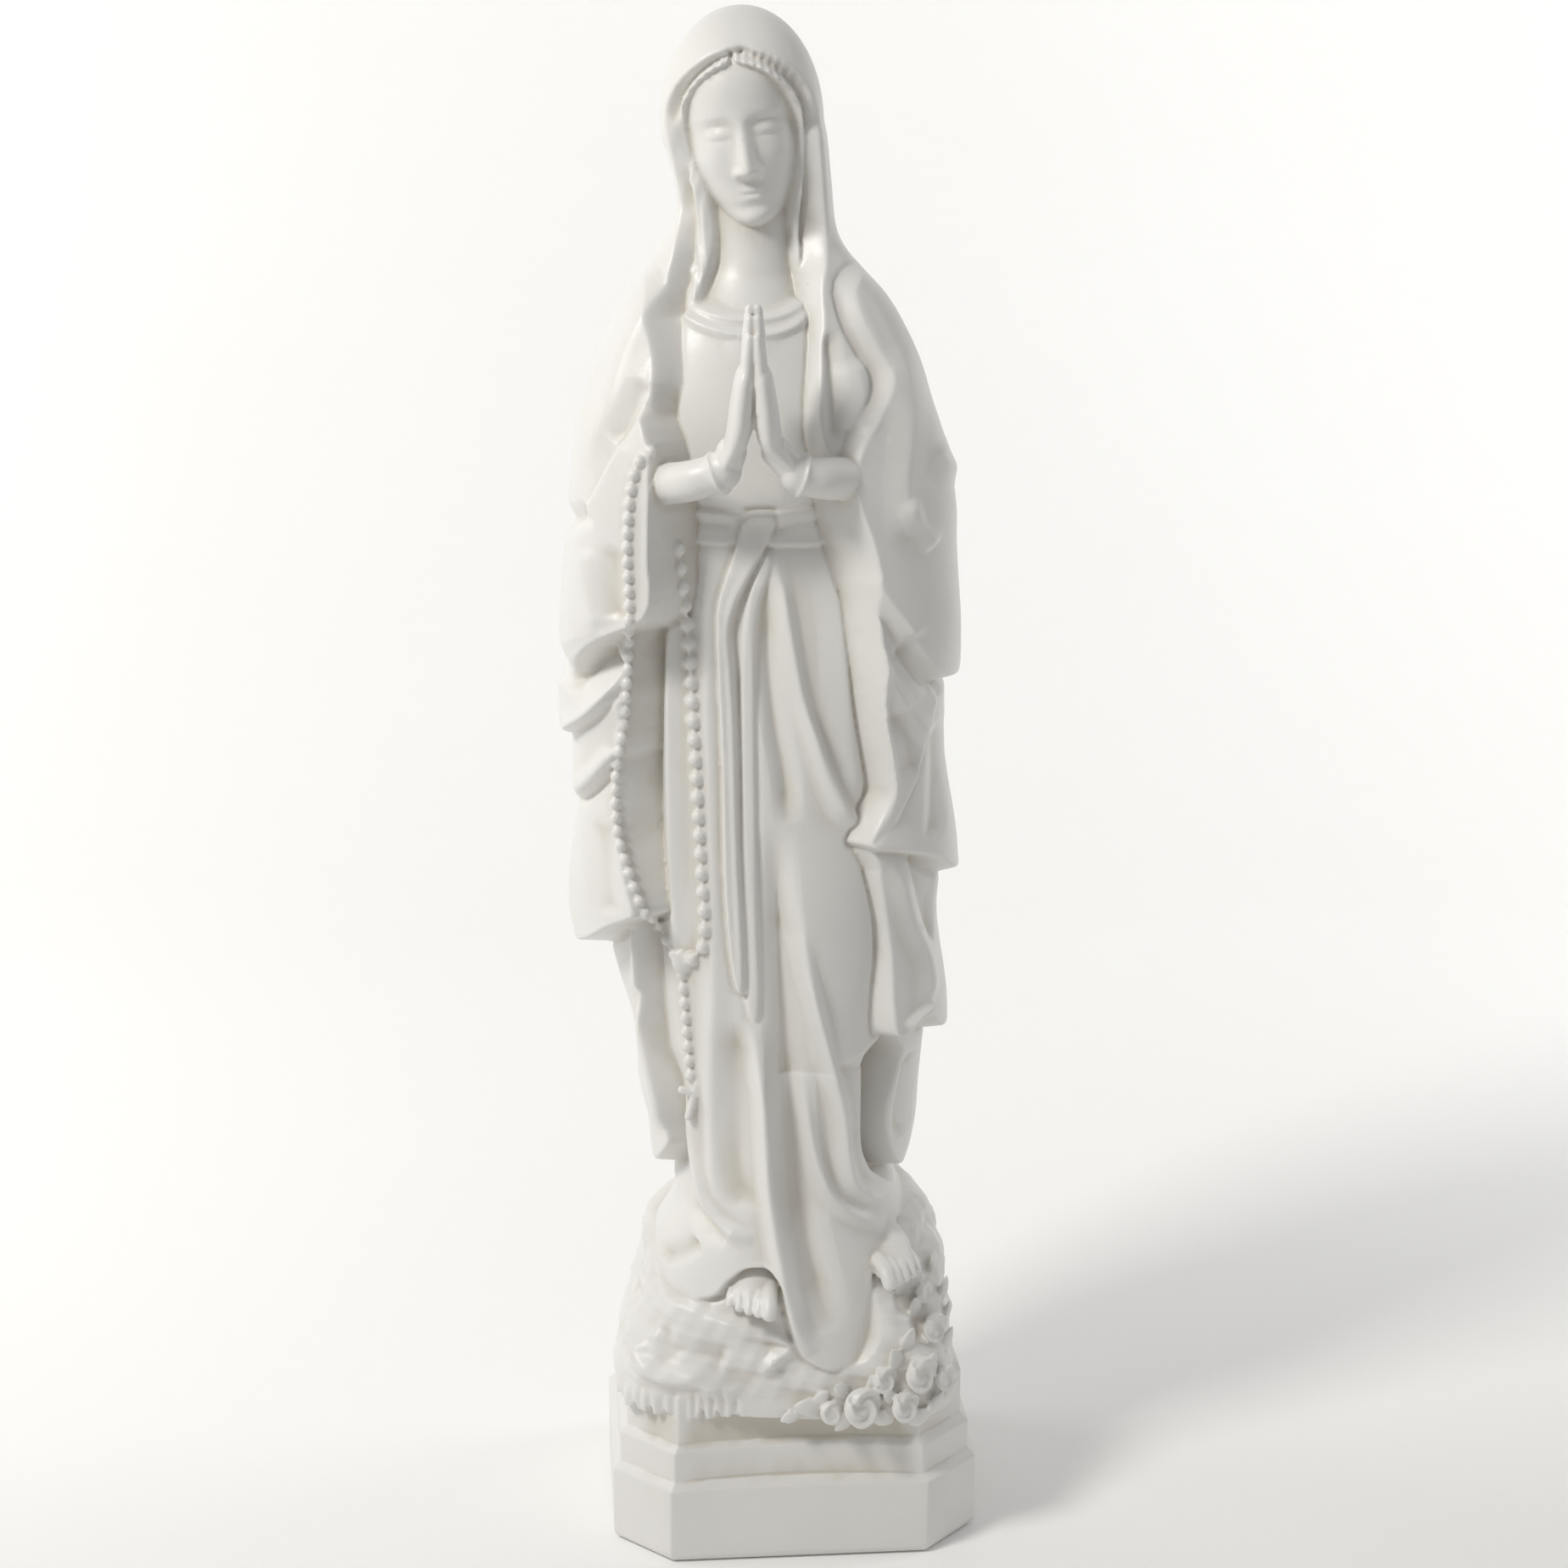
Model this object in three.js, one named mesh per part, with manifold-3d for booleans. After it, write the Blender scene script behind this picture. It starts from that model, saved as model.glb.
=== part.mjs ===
// A standing, veiled woman in prayer, cast in one with the rocky ground and the stepped plinth that she
// stands on. Millimetres, +Z up, the front faces -Y, and the origin is the centre of the plinth's underside.
import * as THREE from "three";
import { mergeVertices } from "three/addons/utils/BufferGeometryUtils.js";
import Module from "manifold-3d";

const wasm = await Module();
wasm.setup();

// Driving dimensions
const FIGURE_HEIGHT = 532; // from the plinth's top to the crown of the veil
const PLINTH_WIDTH = 147;
const PLINTH_DEPTH = 126;
const CORNER_CUT = 22; // the chamfer at each corner of the plinth, along both sides
const FOOT_TIER_HEIGHT = 31;
const MIDDLE_TIER_HEIGHT = 12;
const TOP_TIER_HEIGHT = 19;
const LEDGE_RISE = 3; // the weathered slope of each ledge
const MIDDLE_TIER_INSET = 3;
const TOP_TIER_INSET = 6;
const FRONT_BOW = 4; // how far the upper tiers' fronts are hollowed at the middle
const FOOT_EDGE_ROUND = 3.5;
const FIGURE_TURN = THREE.MathUtils.degToRad(-4.5); // she is turned a little to her right on the plinth
const SURFACE_TRIANGLES = 8000; // what the carving is thinned to
const CASTING_TRIANGLES = 9700; // with the rosary and the plinth, once slivers along the seams are gone

// The carving below is drawn at this height, with z from the ground and x from a line near her middle, and
// is scaled to FIGURE_HEIGHT afterwards.
const DRAWN_HEIGHT = 532;
const DRAWN_BASE = 68;
const DRAWN_MIDDLE = 8; // x of the plinth's middle in the drawing

const clamp = THREE.MathUtils.clamp;
const ramp = THREE.MathUtils.smoothstep;
const mix = THREE.MathUtils.lerp;

// A smooth curve through [height, value] pairs that are listed from the lowest up.
function profile(pairs) {
  const slope = (i) => {
    const a = pairs[Math.max(i - 1, 0)];
    const b = pairs[Math.min(i + 1, pairs.length - 1)];
    return (b[1] - a[1]) / (b[0] - a[0]);
  };
  return (z) => {
    const i = pairs.findIndex((p) => p[0] > z);
    if (i === 0) return pairs[0][1];
    if (i < 0) return pairs[pairs.length - 1][1];
    const [[z0, v0], [z1, v1]] = [pairs[i - 1], pairs[i]];
    const span = z1 - z0;
    const t = (z - z0) / span;
    const rise = (3 - 2 * t) * t * t;
    const lead = t * (1 - t) * span;
    return mix(v0, v1, rise) + lead * ((1 - t) * slope(i - 1) - t * slope(i));
  };
}

// A smooth line through [x, z] points, as short straight steps.
function smoothLine(points, steps = 4) {
  const curve = new THREE.SplineCurve(points.map(([x, z]) => new THREE.Vector2(x, z)));
  return curve.getPoints(steps * (points.length - 1)).map((p) => [p.x, p.y]);
}

// The nearest point of a line to (x, z): how far away it is, and how far along the line from 0 to 1.
function nearest(line, x, z) {
  let distance = Infinity;
  let along = 0;
  for (let i = 1; i < line.length; i++) {
    const [ax, az] = line[i - 1];
    const ex = line[i][0] - ax;
    const ez = line[i][1] - az;
    const t = clamp(((x - ax) * ex + (z - az) * ez) / (ex * ex + ez * ez), 0, 1);
    const d = Math.hypot(x - ax - t * ex, z - az - t * ez);
    if (d < distance) {
      distance = d;
      along = (i - 1 + t) / (line.length - 1);
    }
  }
  return { distance, along };
}

// How far (x, z) lies inside a closed outline; negative outside.
function depthInside(outline, x, z) {
  let odd = false;
  for (let i = 0, j = outline.length - 1; i < outline.length; j = i++) {
    const [ax, az] = outline[j];
    const [bx, bz] = outline[i];
    if (az > z !== bz > z && x < ax + ((z - az) / (bz - az)) * (bx - ax)) odd = !odd;
  }
  const { distance } = nearest([...outline, outline[0]], x, z);
  return odd ? distance : -distance;
}

// The plain forms. Left and right are the x of each side, front and back are depths from the body's line.
const BODY_LINE = profile([[60, 7], [150, 5], [250, 0], [400, -3], [500, -6], [540, -7], [600, -9.5]]);
const CROWN_HEIGHT = 40;
const CROWN_START = DRAWN_BASE + DRAWN_HEIGHT - CROWN_HEIGHT;

const MANTLE = {
  left: profile([
    [100, -50], [130, -44], [146, -44], [153, -47], [168, -48.5], [184, -52], [208, -53.5], [232, -60], [256, -66], [280, -70],
    [304, -73], [328, -74], [352, -75], [376, -76.5], [416, -76.5], [440, -74], [456, -70.5], [472, -65],
    [488, -58], [496, -53], [504, -46.5], [512, -41.5], [520, -36.5], [528, -34], [536, -34.6], [544, -36.7],
    [552, -39.2], [560, -40], [600, -40],
  ]),
  right: profile([
    [100, 60], [130, 53], [146, 53.5], [153, 57], [168, 60], [184, 61], [208, 63], [232, 65], [256, 67], [280, 69], [304, 70],
    [352, 69], [376, 71], [400, 72.5], [416, 72.5], [440, 68], [456, 62.7], [472, 57.5], [488, 49.5], [496, 44],
    [504, 36.5], [512, 29.5], [520, 25.8], [536, 24], [552, 22.4], [560, 21], [600, 20],
  ]),
  front: profile([
    [100, 44], [150, 48], [200, 52], [300, 54], [380, 56], [420, 57], [440, 53], [460, 46], [480, 38], [500, 30],
    [520, 26], [545, 31], [560, 35.5], [580, 37], [600, 37],
  ]),
  back: profile([
    [100, 54], [150, 50], [230, 49], [330, 47], [400, 47], [450, 47], [480, 42], [500, 35], [520, 29], [540, 31],
    [560, 36], [600, 36],
  ]),
};

const GOWN = {
  left: profile([
    [80, -52], [110, -50], [120, -46], [128, -41], [136, -37.5], [144, -38], [150, -38], [170, -38], [200, -44], [300, -56], [400, -60],
    [450, -56], [488, -46], [504, -32], [520, -27], [550, -30], [600, -30],
  ]),
  right: profile([
    [80, 62], [110, 62], [124, 60], [134, 55], [144, 50], [150, 49], [170, 50], [200, 52], [300, 55], [400, 56], [450, 50],
    [488, 34], [504, 24], [520, 18], [550, 16], [600, 14],
  ]),
  front: profile([
    [80, 63], [100, 60], [130, 55], [150, 52], [200, 51], [250, 51], [300, 48], [350, 45], [380, 42], [400, 39],
    [412, 37], [430, 40], [450, 41], [470, 37], [486, 31], [494, 24], [502, 8], [520, 4], [550, 12], [600, 14],
  ]),
  back: profile([[80, 50], [150, 42], [300, 40], [450, 36], [500, 26], [560, 28], [600, 28]]),
};

const HAIR = {
  left: profile([[480, -40], [500, -37], [512, -35.5], [530, -33.5], [545, -36.5], [560, -39.5], [600, -39.5]]),
  right: profile([[480, 22], [500, 21], [520, 21.5], [545, 21.5], [560, 20.5], [600, 19]]),
  front: profile([[480, 32], [492, 30], [505, 22], [520, 17], [540, 19], [555, 23], [568, 29], [580, 34], [600, 34]]),
  back: profile([[480, 20], [600, 20]]),
};

const GROUND = {
  left: profile([[56, -56], [72, -55], [88, -52.5], [104, -49.5], [112, -50], [122, -47.5], [132, -43], [139, -36], [146, -28], [165, 0]]),
  right: profile([[56, 76], [72, 75], [88, 73.5], [104, 70], [120, 67], [128, 65], [136, 57], [146, 50], [165, 20]]),
  front: profile([[56, 61], [68, 62], [80, 60], [90, 58], [100, 55], [110, 51], [120, 46], [140, 32], [165, 10]]),
  back: profile([[56, 58], [72, 59], [90, 58], [110, 56], [125, 53], [140, 46], [165, 10]]),
};

const SECTION_POWER = 2.3; // a little squarer than an ellipse

const crownShare = (z) => Math.sqrt(Math.max(0, 1 - (Math.max(0, z - CROWN_START) / CROWN_HEIGHT) ** 2));

// A form's reach to the side that the angle is on.
function formSide(form, angle, z) {
  const middle = BODY_LINE(z);
  return crownShare(z) * Math.max(1, angle < 0 ? middle - form.left(z) : form.right(z) - middle);
}

function formRadius(form, angle, z) {
  const across = Math.abs(Math.sin(angle)) / formSide(form, angle, z);
  const ahead = Math.abs(Math.cos(angle)) / (crownShare(z) * (Math.cos(angle) > 0 ? form.front(z) : form.back(z)));
  return (across ** SECTION_POWER + ahead ** SECTION_POWER) ** (-1 / SECTION_POWER);
}

// Where a point of the surface lies across the figure as seen from the front. Past the side it is carried on
// round the back, as far again.
function across(radius, side, angle, z) {
  const x = radius * Math.abs(Math.sin(angle));
  return BODY_LINE(z) + Math.sign(angle) * (Math.cos(angle) >= 0 ? x : 2 * side - x);
}

// Cloth that lies over what is below it. Each piece has an outline seen from the front, a lift off its form,
// and may flare outwards between two heights. They are listed from the lowest up.
const FAR = 220; // past the middle of the back
const CLOTH = [
  {
    name: "gown",
    form: GOWN,
    outline: [
      [-FAR, 520], [-FAR, 150], [-60, 148], [-53, 139], [-50, 128], [-45, 116], [-42, 108], [-36, 105], [-28, 106],
      [-20, 109], [-16, 115], [-9, 121], [0, 122], [5, 117], [7, 106], [10, 94], [14, 86], [22, 81], [30, 80],
      [37, 84], [41, 92], [42, 105], [42, 118], [47, 126], [53, 131], [60, 138], [68, 150], [FAR, 152], [FAR, 520],
    ],
    lift: 0,
  },
  {
    name: "sash",
    form: GOWN,
    outline: [[-48, 420], [-20, 418], [0, 417], [20, 419], [46, 423], [46, 408], [20, 405], [0, 405], [-48, 406]],
    lift: 2.5,
  },
  {
    name: "sash end, right",
    form: GOWN,
    outline: [
      [0, 404], [-6, 392], [-9, 375], [-10, 350], [-10, 300], [-9.5, 260], [-8, 225], [-3.5, 222], [-3, 235],
      [-3.5, 260], [-4.5, 300], [-5, 350], [-4, 380], [2, 400],
    ],
    lift: 3,
  },
  {
    name: "sash end, left",
    form: GOWN,
    outline: [
      [-9, 417], [-12.5, 404], [-16.5, 393], [-19.5, 383], [-19.5, 370], [-18.5, 350], [-17.5, 320], [-17, 280],
      [-15, 250], [-13, 236], [-9, 233], [-9, 250], [-11, 290], [-12, 340], [-13.5, 362], [-14.5, 374], [-12, 384],
      [-5.5, 396], [-1, 404], [3.5, 414], [2.5, 417.5],
    ],
    lift: 4.6,
  },
  {
    name: "hollow beside the waist, left",
    form: GOWN,
    outline: [[-50, 426], [-40, 426], [-36, 421], [-34.5, 412], [-35, 403], [-39, 397], [-50, 396]],
    lift: -13,
    edge: 2.5,
  },
  {
    name: "hollow beside the waist, right",
    form: GOWN,
    outline: [[30, 426], [46, 426], [46, 380], [39, 376], [37.5, 392], [35, 405], [31.5, 416]],
    lift: -8,
    edge: 3,
  },
  {
    name: "hollow under the knee",
    form: GOWN,
    outline: [
      [31, 208], [31, 185], [31, 166], [35, 152], [42, 144], [50, 141], [64, 146], [64, 214], [46, 214],
    ],
    lift: -10,
  },
  {
    name: "cloth over the knee",
    form: GOWN,
    outline: [
      [9, 299], [8, 288], [9, 272], [12, 256], [16, 240], [20, 225], [24, 213], [29, 204], [36, 205], [43, 209],
      [52, 214], [54, 235], [52, 258], [47, 275], [41, 290], [34, 298], [22, 301],
    ],
    lift: 0,
    flare: [302, 262, 6],
    edge: 2.5,
  },
  {
    name: "hair, left",
    form: HAIR,
    outline: [
      [-14, 586], [-30, 586], [-50, 570], [-50, 500], [-37, 494], [-29, 495], [-22.5, 500], [-20, 510], [-19.5, 522],
      [-22, 535], [-27, 545], [-30, 556], [-29, 565], [-24.5, 571.5], [-18.5, 576], [-13, 578.5],
    ],
    lift: 0,
  },
  {
    name: "hair, right",
    form: HAIR,
    outline: [
      [-14, 586], [10, 586], [30, 570], [30, 500], [18, 498], [12.5, 502], [10, 510], [9, 520], [10.5, 535],
      [11.5, 545], [12, 556], [10.5, 563], [6.5, 569.5], [0.5, 574.5], [-6, 577.5], [-13, 578.5],
    ],
    lift: 0,
  },
  {
    name: "mantle, left of the opening",
    form: MANTLE,
    outline: [
      [-FAR, 620], [6, 620], [6, 592], [-9, 584.5], [-20, 581.5], [-28, 576], [-33, 571], [-37, 563], [-36, 553], [-33, 540],
      [-32, 525], [-34, 510], [-37, 500], [-40.5, 490], [-41.5, 480], [-41, 465], [-42, 445], [-42, 420],
      [-43, 400], [-43, 388], [-48, 378], [-53, 370], [-53, 350], [-55, 330], [-54, 305], [-52, 280], [-50, 266],
      [-50, 250], [-49, 235], [-47, 215], [-45, 200], [-41, 185], [-39, 172], [-38, 165], [-42, 157], [-46, 148],
      [-54, 142], [-FAR, 128],
    ],
    lift: 0,
  },
  {
    name: "mantle, right of the opening",
    form: MANTLE,
    outline: [
      [FAR, 620], [-24, 620], [-24, 592], [-9, 584.5], [2, 582], [10, 577], [15, 571], [18, 562], [19, 550], [20, 535],
      [21, 520], [21, 508], [19, 499], [20, 488], [19, 475], [18, 460], [19, 446], [26, 434], [32, 422], [37, 409],
      [39.5, 398], [40, 385], [41, 365], [42, 350], [44, 335], [47, 320], [48, 311], [45, 302], [40, 296],
      [38, 291], [42, 283], [44, 272], [46, 258], [47, 245], [47.5, 228], [49, 214], [53, 204], [50, 190],
      [47, 178], [47, 168], [49, 160], [52, 152], [57, 146], [66, 141], [FAR, 130],
    ],
    lift: 0,
  },
  {
    name: "left fold to the knee",
    form: MANTLE,
    outline: [
      [-55, 335], [-57, 300], [-56, 290], [-54, 280], [-51, 271], [-49.5, 265], [-55, 262], [-62, 258], [-68, 252],
      [-73, 247], [-77, 241], [-80, 236], [-FAR, 230], [-FAR, 335],
    ],
    lift: 1,
    flare: [315, 250, 13],
  },
  {
    name: "left fold to the thigh",
    form: MANTLE,
    outline: [
      [-53, 385], [-53, 350], [-55, 335], [-56, 326], [-60, 321], [-66, 313], [-73, 304], [-82, 296], [-FAR, 286],
      [-FAR, 385],
    ],
    lift: 1,
    flare: [380, 305, 3],
  },
  {
    name: "inside of the left sleeve",
    form: MANTLE,
    outline: [
      [-53, 378], [-62, 373], [-70, 368], [-78, 361], [-FAR, 352], [-FAR, 326], [-79, 328.5], [-75, 333], [-66, 341],
      [-58, 352], [-53.5, 364],
    ],
    lift: 0,
    flare: [372, 346, 7],
  },
  {
    name: "left sleeve",
    form: MANTLE,
    outline: [
      [-42, 448], [-42.5, 420], [-43, 402], [-42, 392], [-42.5, 386], [-45, 380.5], [-50, 377.5], [-55, 375],
      [-62, 372], [-69, 367], [-75, 360], [-79, 350], [-82, 340], [-FAR, 334], [-FAR, 470], [-60, 470],
    ],
    lift: 7,
    flare: [425, 355, 5],
  },
  {
    name: "left shoulder fold",
    form: MANTLE,
    outline: [
      [-41, 480], [-40, 466], [-44, 458], [-50, 448], [-56, 438], [-61, 429], [-65, 421], [-68, 415], [-74, 409],
      [-84, 400], [-FAR, 388], [-FAR, 520], [-60, 525], [-44, 505],
    ],
    lift: 5,
    edge: 2,
  },
  {
    name: "right fold to the shin",
    form: MANTLE,
    outline: [
      [42, 283], [44, 272], [46, 258], [47, 245], [47.5, 228], [49, 215], [54, 213], [58, 217], [63, 219],
      [67, 212], [72, 207], [90, 202], [FAR, 196], [FAR, 285],
    ],
    lift: 0,
    flare: [262, 208, 9],
  },
  {
    name: "hollow of the right fold",
    form: MANTLE,
    outline: [[49, 287], [53, 270], [57, 256], [60, 246], [62, 250], [63, 262], [66, 272], [64, 284]],
    lift: -7,
    edge: 2,
  },
  {
    name: "right fold to the knee",
    form: MANTLE,
    outline: [
      [38, 291.5], [45, 290], [52, 288.5], [60, 286], [67, 282], [72, 276], [77, 269], [95, 262], [FAR, 254],
      [FAR, 360], [60, 360], [50, 320],
    ],
    lift: 1,
    flare: [320, 270, 7],
  },
  {
    name: "right fold to the thigh",
    form: MANTLE,
    outline: [
      [39.5, 398], [40, 385], [41, 365], [42, 350], [44, 335], [47, 320], [48, 311], [45, 302], [40, 296],
      [37.5, 291.5], [43, 294], [50, 302], [56, 312], [60, 321], [62.5, 330], [66, 345], [69, 365], [60, 380],
    ],
    lift: 4,
  },
  {
    name: "right sleeve and shoulder fold",
    form: MANTLE,
    outline: [
      [30, 502], [34, 487], [40, 477], [44.5, 468], [44, 462], [40, 454], [35, 446], [31.5, 437], [31, 427],
      [34, 417], [37, 409], [39.5, 400], [41, 391], [46, 384], [52, 376], [58, 367], [64, 359], [69, 353],
      [78, 350], [FAR, 343], [FAR, 520], [60, 525],
    ],
    lift: 5,
    flare: [410, 352, 6],
    edge: 2,
  },
];
const EDGE_WIDTH = 1.8;

// Folds are ridges, or grooves where the height is negative, along lines seen from the front.
const GOWN_FOLDS = [
  { line: [[-39, 499], [-34, 493], [-26, 487], [-15, 483.5], [-5, 482.5], [4, 483.5], [12, 487.5], [19, 496]], width: 2.4, height: 2.2 },
  { line: [[-35, 500], [-29, 494.5], [-21, 490], [-12, 488], [-2, 488], [7, 490], [14, 494.5], [19, 500]], width: 2, height: 1.8 },
  { line: [[-44, 411.5], [-20, 411], [0, 411], [20, 411.5], [44, 414]], width: 2, height: -1.8 },
  { line: [[-45, 400], [-45.5, 350], [-46, 300], [-45, 262]], width: 7, height: -5 },
  { line: [[35, 402], [36.5, 375], [38, 345], [42, 325], [43, 312]], width: 6, height: -5 },
  { line: [[-34, 392], [-36, 350], [-36, 300], [-34.5, 262], [-34, 240]], width: 4, height: 3 },
  { line: [[-22, 400], [-22, 350], [-21, 300], [-20, 250], [-21, 200], [-21, 160], [-17, 142]], width: 5, height: 2 },
  { line: [[1, 404], [5, 390], [8, 372], [12, 350], [17, 330], [22, 315], [28, 303], [36, 294]], width: 3.6, height: 3.2 },
  { line: [[12, 348], [20, 326], [27, 309], [34, 299], [40, 291]], width: 3, height: 2.4 },
  { line: [[22, 402], [27, 380], [29, 350], [31, 325], [36, 305]], width: 7, height: 2.6 },
  { line: [[0, 392], [0, 365], [3, 340], [7, 318], [8, 300]], width: 4.5, height: -3.4 },
  { line: [[2, 300], [4, 270], [6, 240], [8, 210], [10, 180], [13, 150], [17, 130], [22, 110], [25, 96]], width: 7, height: -5 },
  { line: [[-6, 224], [-3, 205], [-1, 190], [0, 172], [1, 155], [3, 140], [5, 128], [8, 112], [12, 98], [18, 88]], width: 5, height: 6 },
  { line: [[11, 258], [15, 240], [19, 222], [24, 202], [28, 184], [30, 166], [33, 153], [41, 145], [52, 141]], width: 4, height: 5.5 },
  { line: [[13, 205], [16, 178], [20, 160], [27, 147], [36, 139], [47, 133]], width: 3.6, height: 3.2 },
  { line: [[-30, 198], [-30, 172], [-28, 155], [-24, 144], [-15, 136], [-5, 133]], width: 3.6, height: 3.6 },
  { line: [[-37, 205], [-35, 170], [-32, 148], [-27, 137], [-16, 131]], width: 5, height: -4 },
  { line: [[-12, 222], [-12, 195], [-12, 165], [-9, 145]], width: 8, height: -3 },
  { line: [[-27, 128], [-35, 121], [-43, 116]], width: 3, height: -3.2 },
  { line: [[-46, 232], [-43, 205], [-40, 188]], width: 3, height: 2 },
];
const HAIR_WAVES = [
  { line: [[-13, 582], [-22, 578], [-29, 572], [-33.5, 563], [-34, 552], [-31, 540], [-29, 525], [-30, 508]], width: 2.2, height: -1.8 },
  { line: [[-13, 580], [-20, 577.2], [-26.5, 572], [-31, 564], [-31.5, 553], [-28, 541], [-25, 528], [-25.5, 512], [-29, 500]], width: 2, height: 1.6 },
  { line: [[-28, 540], [-23.5, 530], [-22.5, 518], [-24, 504]], width: 1.8, height: 1.4 },
  { line: [[-14, 584], [-25, 579.5], [-33, 572], [-37, 562], [-36, 550], [-33, 536], [-32.5, 520], [-34, 505]], width: 2, height: 1.4 },
  { line: [[-12, 582], [-2, 579.5], [6, 575], [12.5, 567], [15, 555], [15, 540], [13, 525], [12.5, 512]], width: 2.2, height: -1.8 },
  { line: [[-12, 580], [-3, 578], [4, 573.5], [10, 566.5], [13, 556], [13, 543], [11.5, 530], [11, 516]], width: 2, height: 1.6 },
  { line: [[-12, 584], [0, 582], [9, 577], [15.5, 569], [18, 556], [18.5, 540], [17.5, 525], [17, 512]], width: 2, height: 1.4 },
  { line: [[12, 512], [16.5, 512.5], [18.5, 508], [17, 503], [13, 502.5]], width: 2.4, height: 2.4 },
  { line: [[-27, 503], [-31, 505], [-34.5, 502], [-34, 497], [-30, 495.5]], width: 2.4, height: 2.4 },
];
const MANTLE_FOLDS = [
  { line: [[-38, 500], [-47, 485], [-52, 475], [-57, 460], [-60, 450], [-67, 434]], width: 6, height: 3 },
  { line: [[-66, 418], [-72, 414], [-80, 410]], width: 4, height: -3 },
  { line: [[-44, 466], [-49, 455], [-56, 444]], width: 5, height: -1.6 },
  { line: [[28, 504], [31, 490], [37, 478], [44, 468]], width: 4, height: -2.6 },
  { line: [[23, 484], [25, 465], [26, 444]], width: 3.4, height: -2.6 },
  { line: [[31, 474], [34, 460], [33, 448]], width: 6, height: 2.4 },
  { line: [[47, 478], [52, 455], [50, 430], [52, 410]], width: 6, height: 2.4 },
  { line: [[50, 424], [56, 413], [62, 405]], width: 4, height: 2.2 },
  { line: [[62, 440], [68, 432], [76, 428]], width: 5, height: 2.4 },
  { line: [[-68, 405], [-66, 390], [-62, 376]], width: 6, height: 2 },
  { line: [[-58, 408], [-57, 392], [-56, 380]], width: 5, height: -1.8 },
  { line: [[-56, 366], [-66, 360], [-80, 350]], width: 9, height: -6 },
  { line: [[-55, 350], [-65, 341], [-78, 329]], width: 6, height: 3 },
  { line: [[-57, 328], [-66, 317], [-75, 306]], width: 4, height: 2.4 },
  { line: [[-64, 300], [-63, 280], [-60, 264]], width: 6, height: -1.8 },
  { line: [[-50, 262], [-50, 245], [-50, 228]], width: 3, height: 2.4 },
  { line: [[-46, 228], [-48, 206], [-44, 186], [-41, 170]], width: 4, height: 3.4 },
  { line: [[52, 372], [60, 360], [68, 345]], width: 8, height: -4 },
  { line: [[42, 369], [45, 357], [51, 346], [57, 337], [62, 330]], width: 3.6, height: 2.8 },
  { line: [[48, 345], [54, 332], [56, 318]], width: 6, height: -2 },
  { line: [[42, 380], [42.5, 350], [45, 330], [48, 314]], width: 2.4, height: 1.8 },
  { line: [[65, 335], [65, 310], [64, 290]], width: 4, height: -2.2 },
  { line: [[48, 286], [52, 270], [56, 255], [61, 243], [63, 232], [62, 222]], width: 4, height: 3 },
  { line: [[54, 217], [59, 221], [65, 222]], width: 2.4, height: 3 },
  { line: [[57, 203], [54, 190], [52, 178], [53, 166]], width: 4, height: -2.4 },
];
const GROUND_FOLDS = [
  { line: [[-46, 116], [-45, 127], [-40, 135], [-33, 138]], width: 7, height: 3.5 },
  { line: [[-54, 96], [-52, 86], [-46, 79], [-38, 76], [-28, 77], [-20, 74], [-10, 72]], width: 4, height: 3 },
  { line: [[-30, 100], [-14, 99], [-2, 95], [9, 91], [3, 85], [-3, 79]], width: 3, height: 3 },
  { line: [[-44, 90], [-30, 88], [-16, 84]], width: 7, height: -2.4 },
  { line: [[-48, 122], [-52, 110], [-50, 100]], width: 5, height: 2.4 },
  { line: [[46, 116], [54, 105], [60, 98], [64, 88]], width: 4, height: -3 },
  { line: [[44, 104], [50, 94], [58, 86], [60, 76]], width: 5, height: 2.6 },
  { line: [[66, 122], [69, 110], [72, 98]], width: 4, height: 2.4 },
];

function prepareFold({ line, width, height }) {
  const points = smoothLine(line);
  const xs = points.map((p) => p[0]);
  const zs = points.map((p) => p[1]);
  const box = [Math.min(...xs) - width, Math.max(...xs) + width, Math.min(...zs) - width, Math.max(...zs) + width];
  return { points, width, height, box };
}
const [gownFolds, hairWaves, mantleFolds, groundFolds] = [GOWN_FOLDS, HAIR_WAVES, MANTLE_FOLDS, GROUND_FOLDS].map(
  (set) => set.map(prepareFold),
);

// The height that a set of folds gives at (x, z). A fold runs out towards both of its ends.
function foldHeight(folds, x, z) {
  let height = 0;
  for (const fold of folds) {
    const [x0, x1, z0, z1] = fold.box;
    if (x < x0 || x > x1 || z < z0 || z > z1) continue;
    const { distance, along } = nearest(fold.points, x, z);
    const t = distance / fold.width;
    if (t < 1) height += fold.height * (1 - t * t) ** 2 * Math.min(1, 6 * along, 6 * (1 - along));
  }
  return height;
}

// Long folds that hang down the back of the mantle, deeper towards the hem.
const BACK_FOLDS = 9;
function backFolds(angle, z) {
  const behind = ramp(Math.abs(angle), 1.5, 2.2);
  const depth = mix(4.5, 0.6, ramp(z, 130, 520)) * behind;
  const sway = 0.35 * Math.sin(z / 70);
  return depth * (Math.abs(Math.cos((BACK_FOLDS * angle) / 2 + sway)) - 0.5);
}

// Broken rock under her feet.
function rockLumps(angle, z) {
  const coarse = Math.sin(5.3 * angle + 0.11 * z) * Math.sin(0.16 * z + 3.1 * angle);
  const fine = Math.sin(11.7 * angle - 0.19 * z + 1) * Math.sin(0.33 * z + 5.7 * angle);
  return 1.5 * coarse + 0.8 * fine;
}

for (const piece of CLOTH) {
  const xs = piece.outline.map((p) => p[0]);
  piece.low = Math.min(...piece.outline.map((p) => p[1])) - 4;
  piece.edge ??= EDGE_WIDTH;
  piece.left = Math.min(...xs) - 4;
  piece.right = Math.max(...xs) + 4;
}

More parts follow.
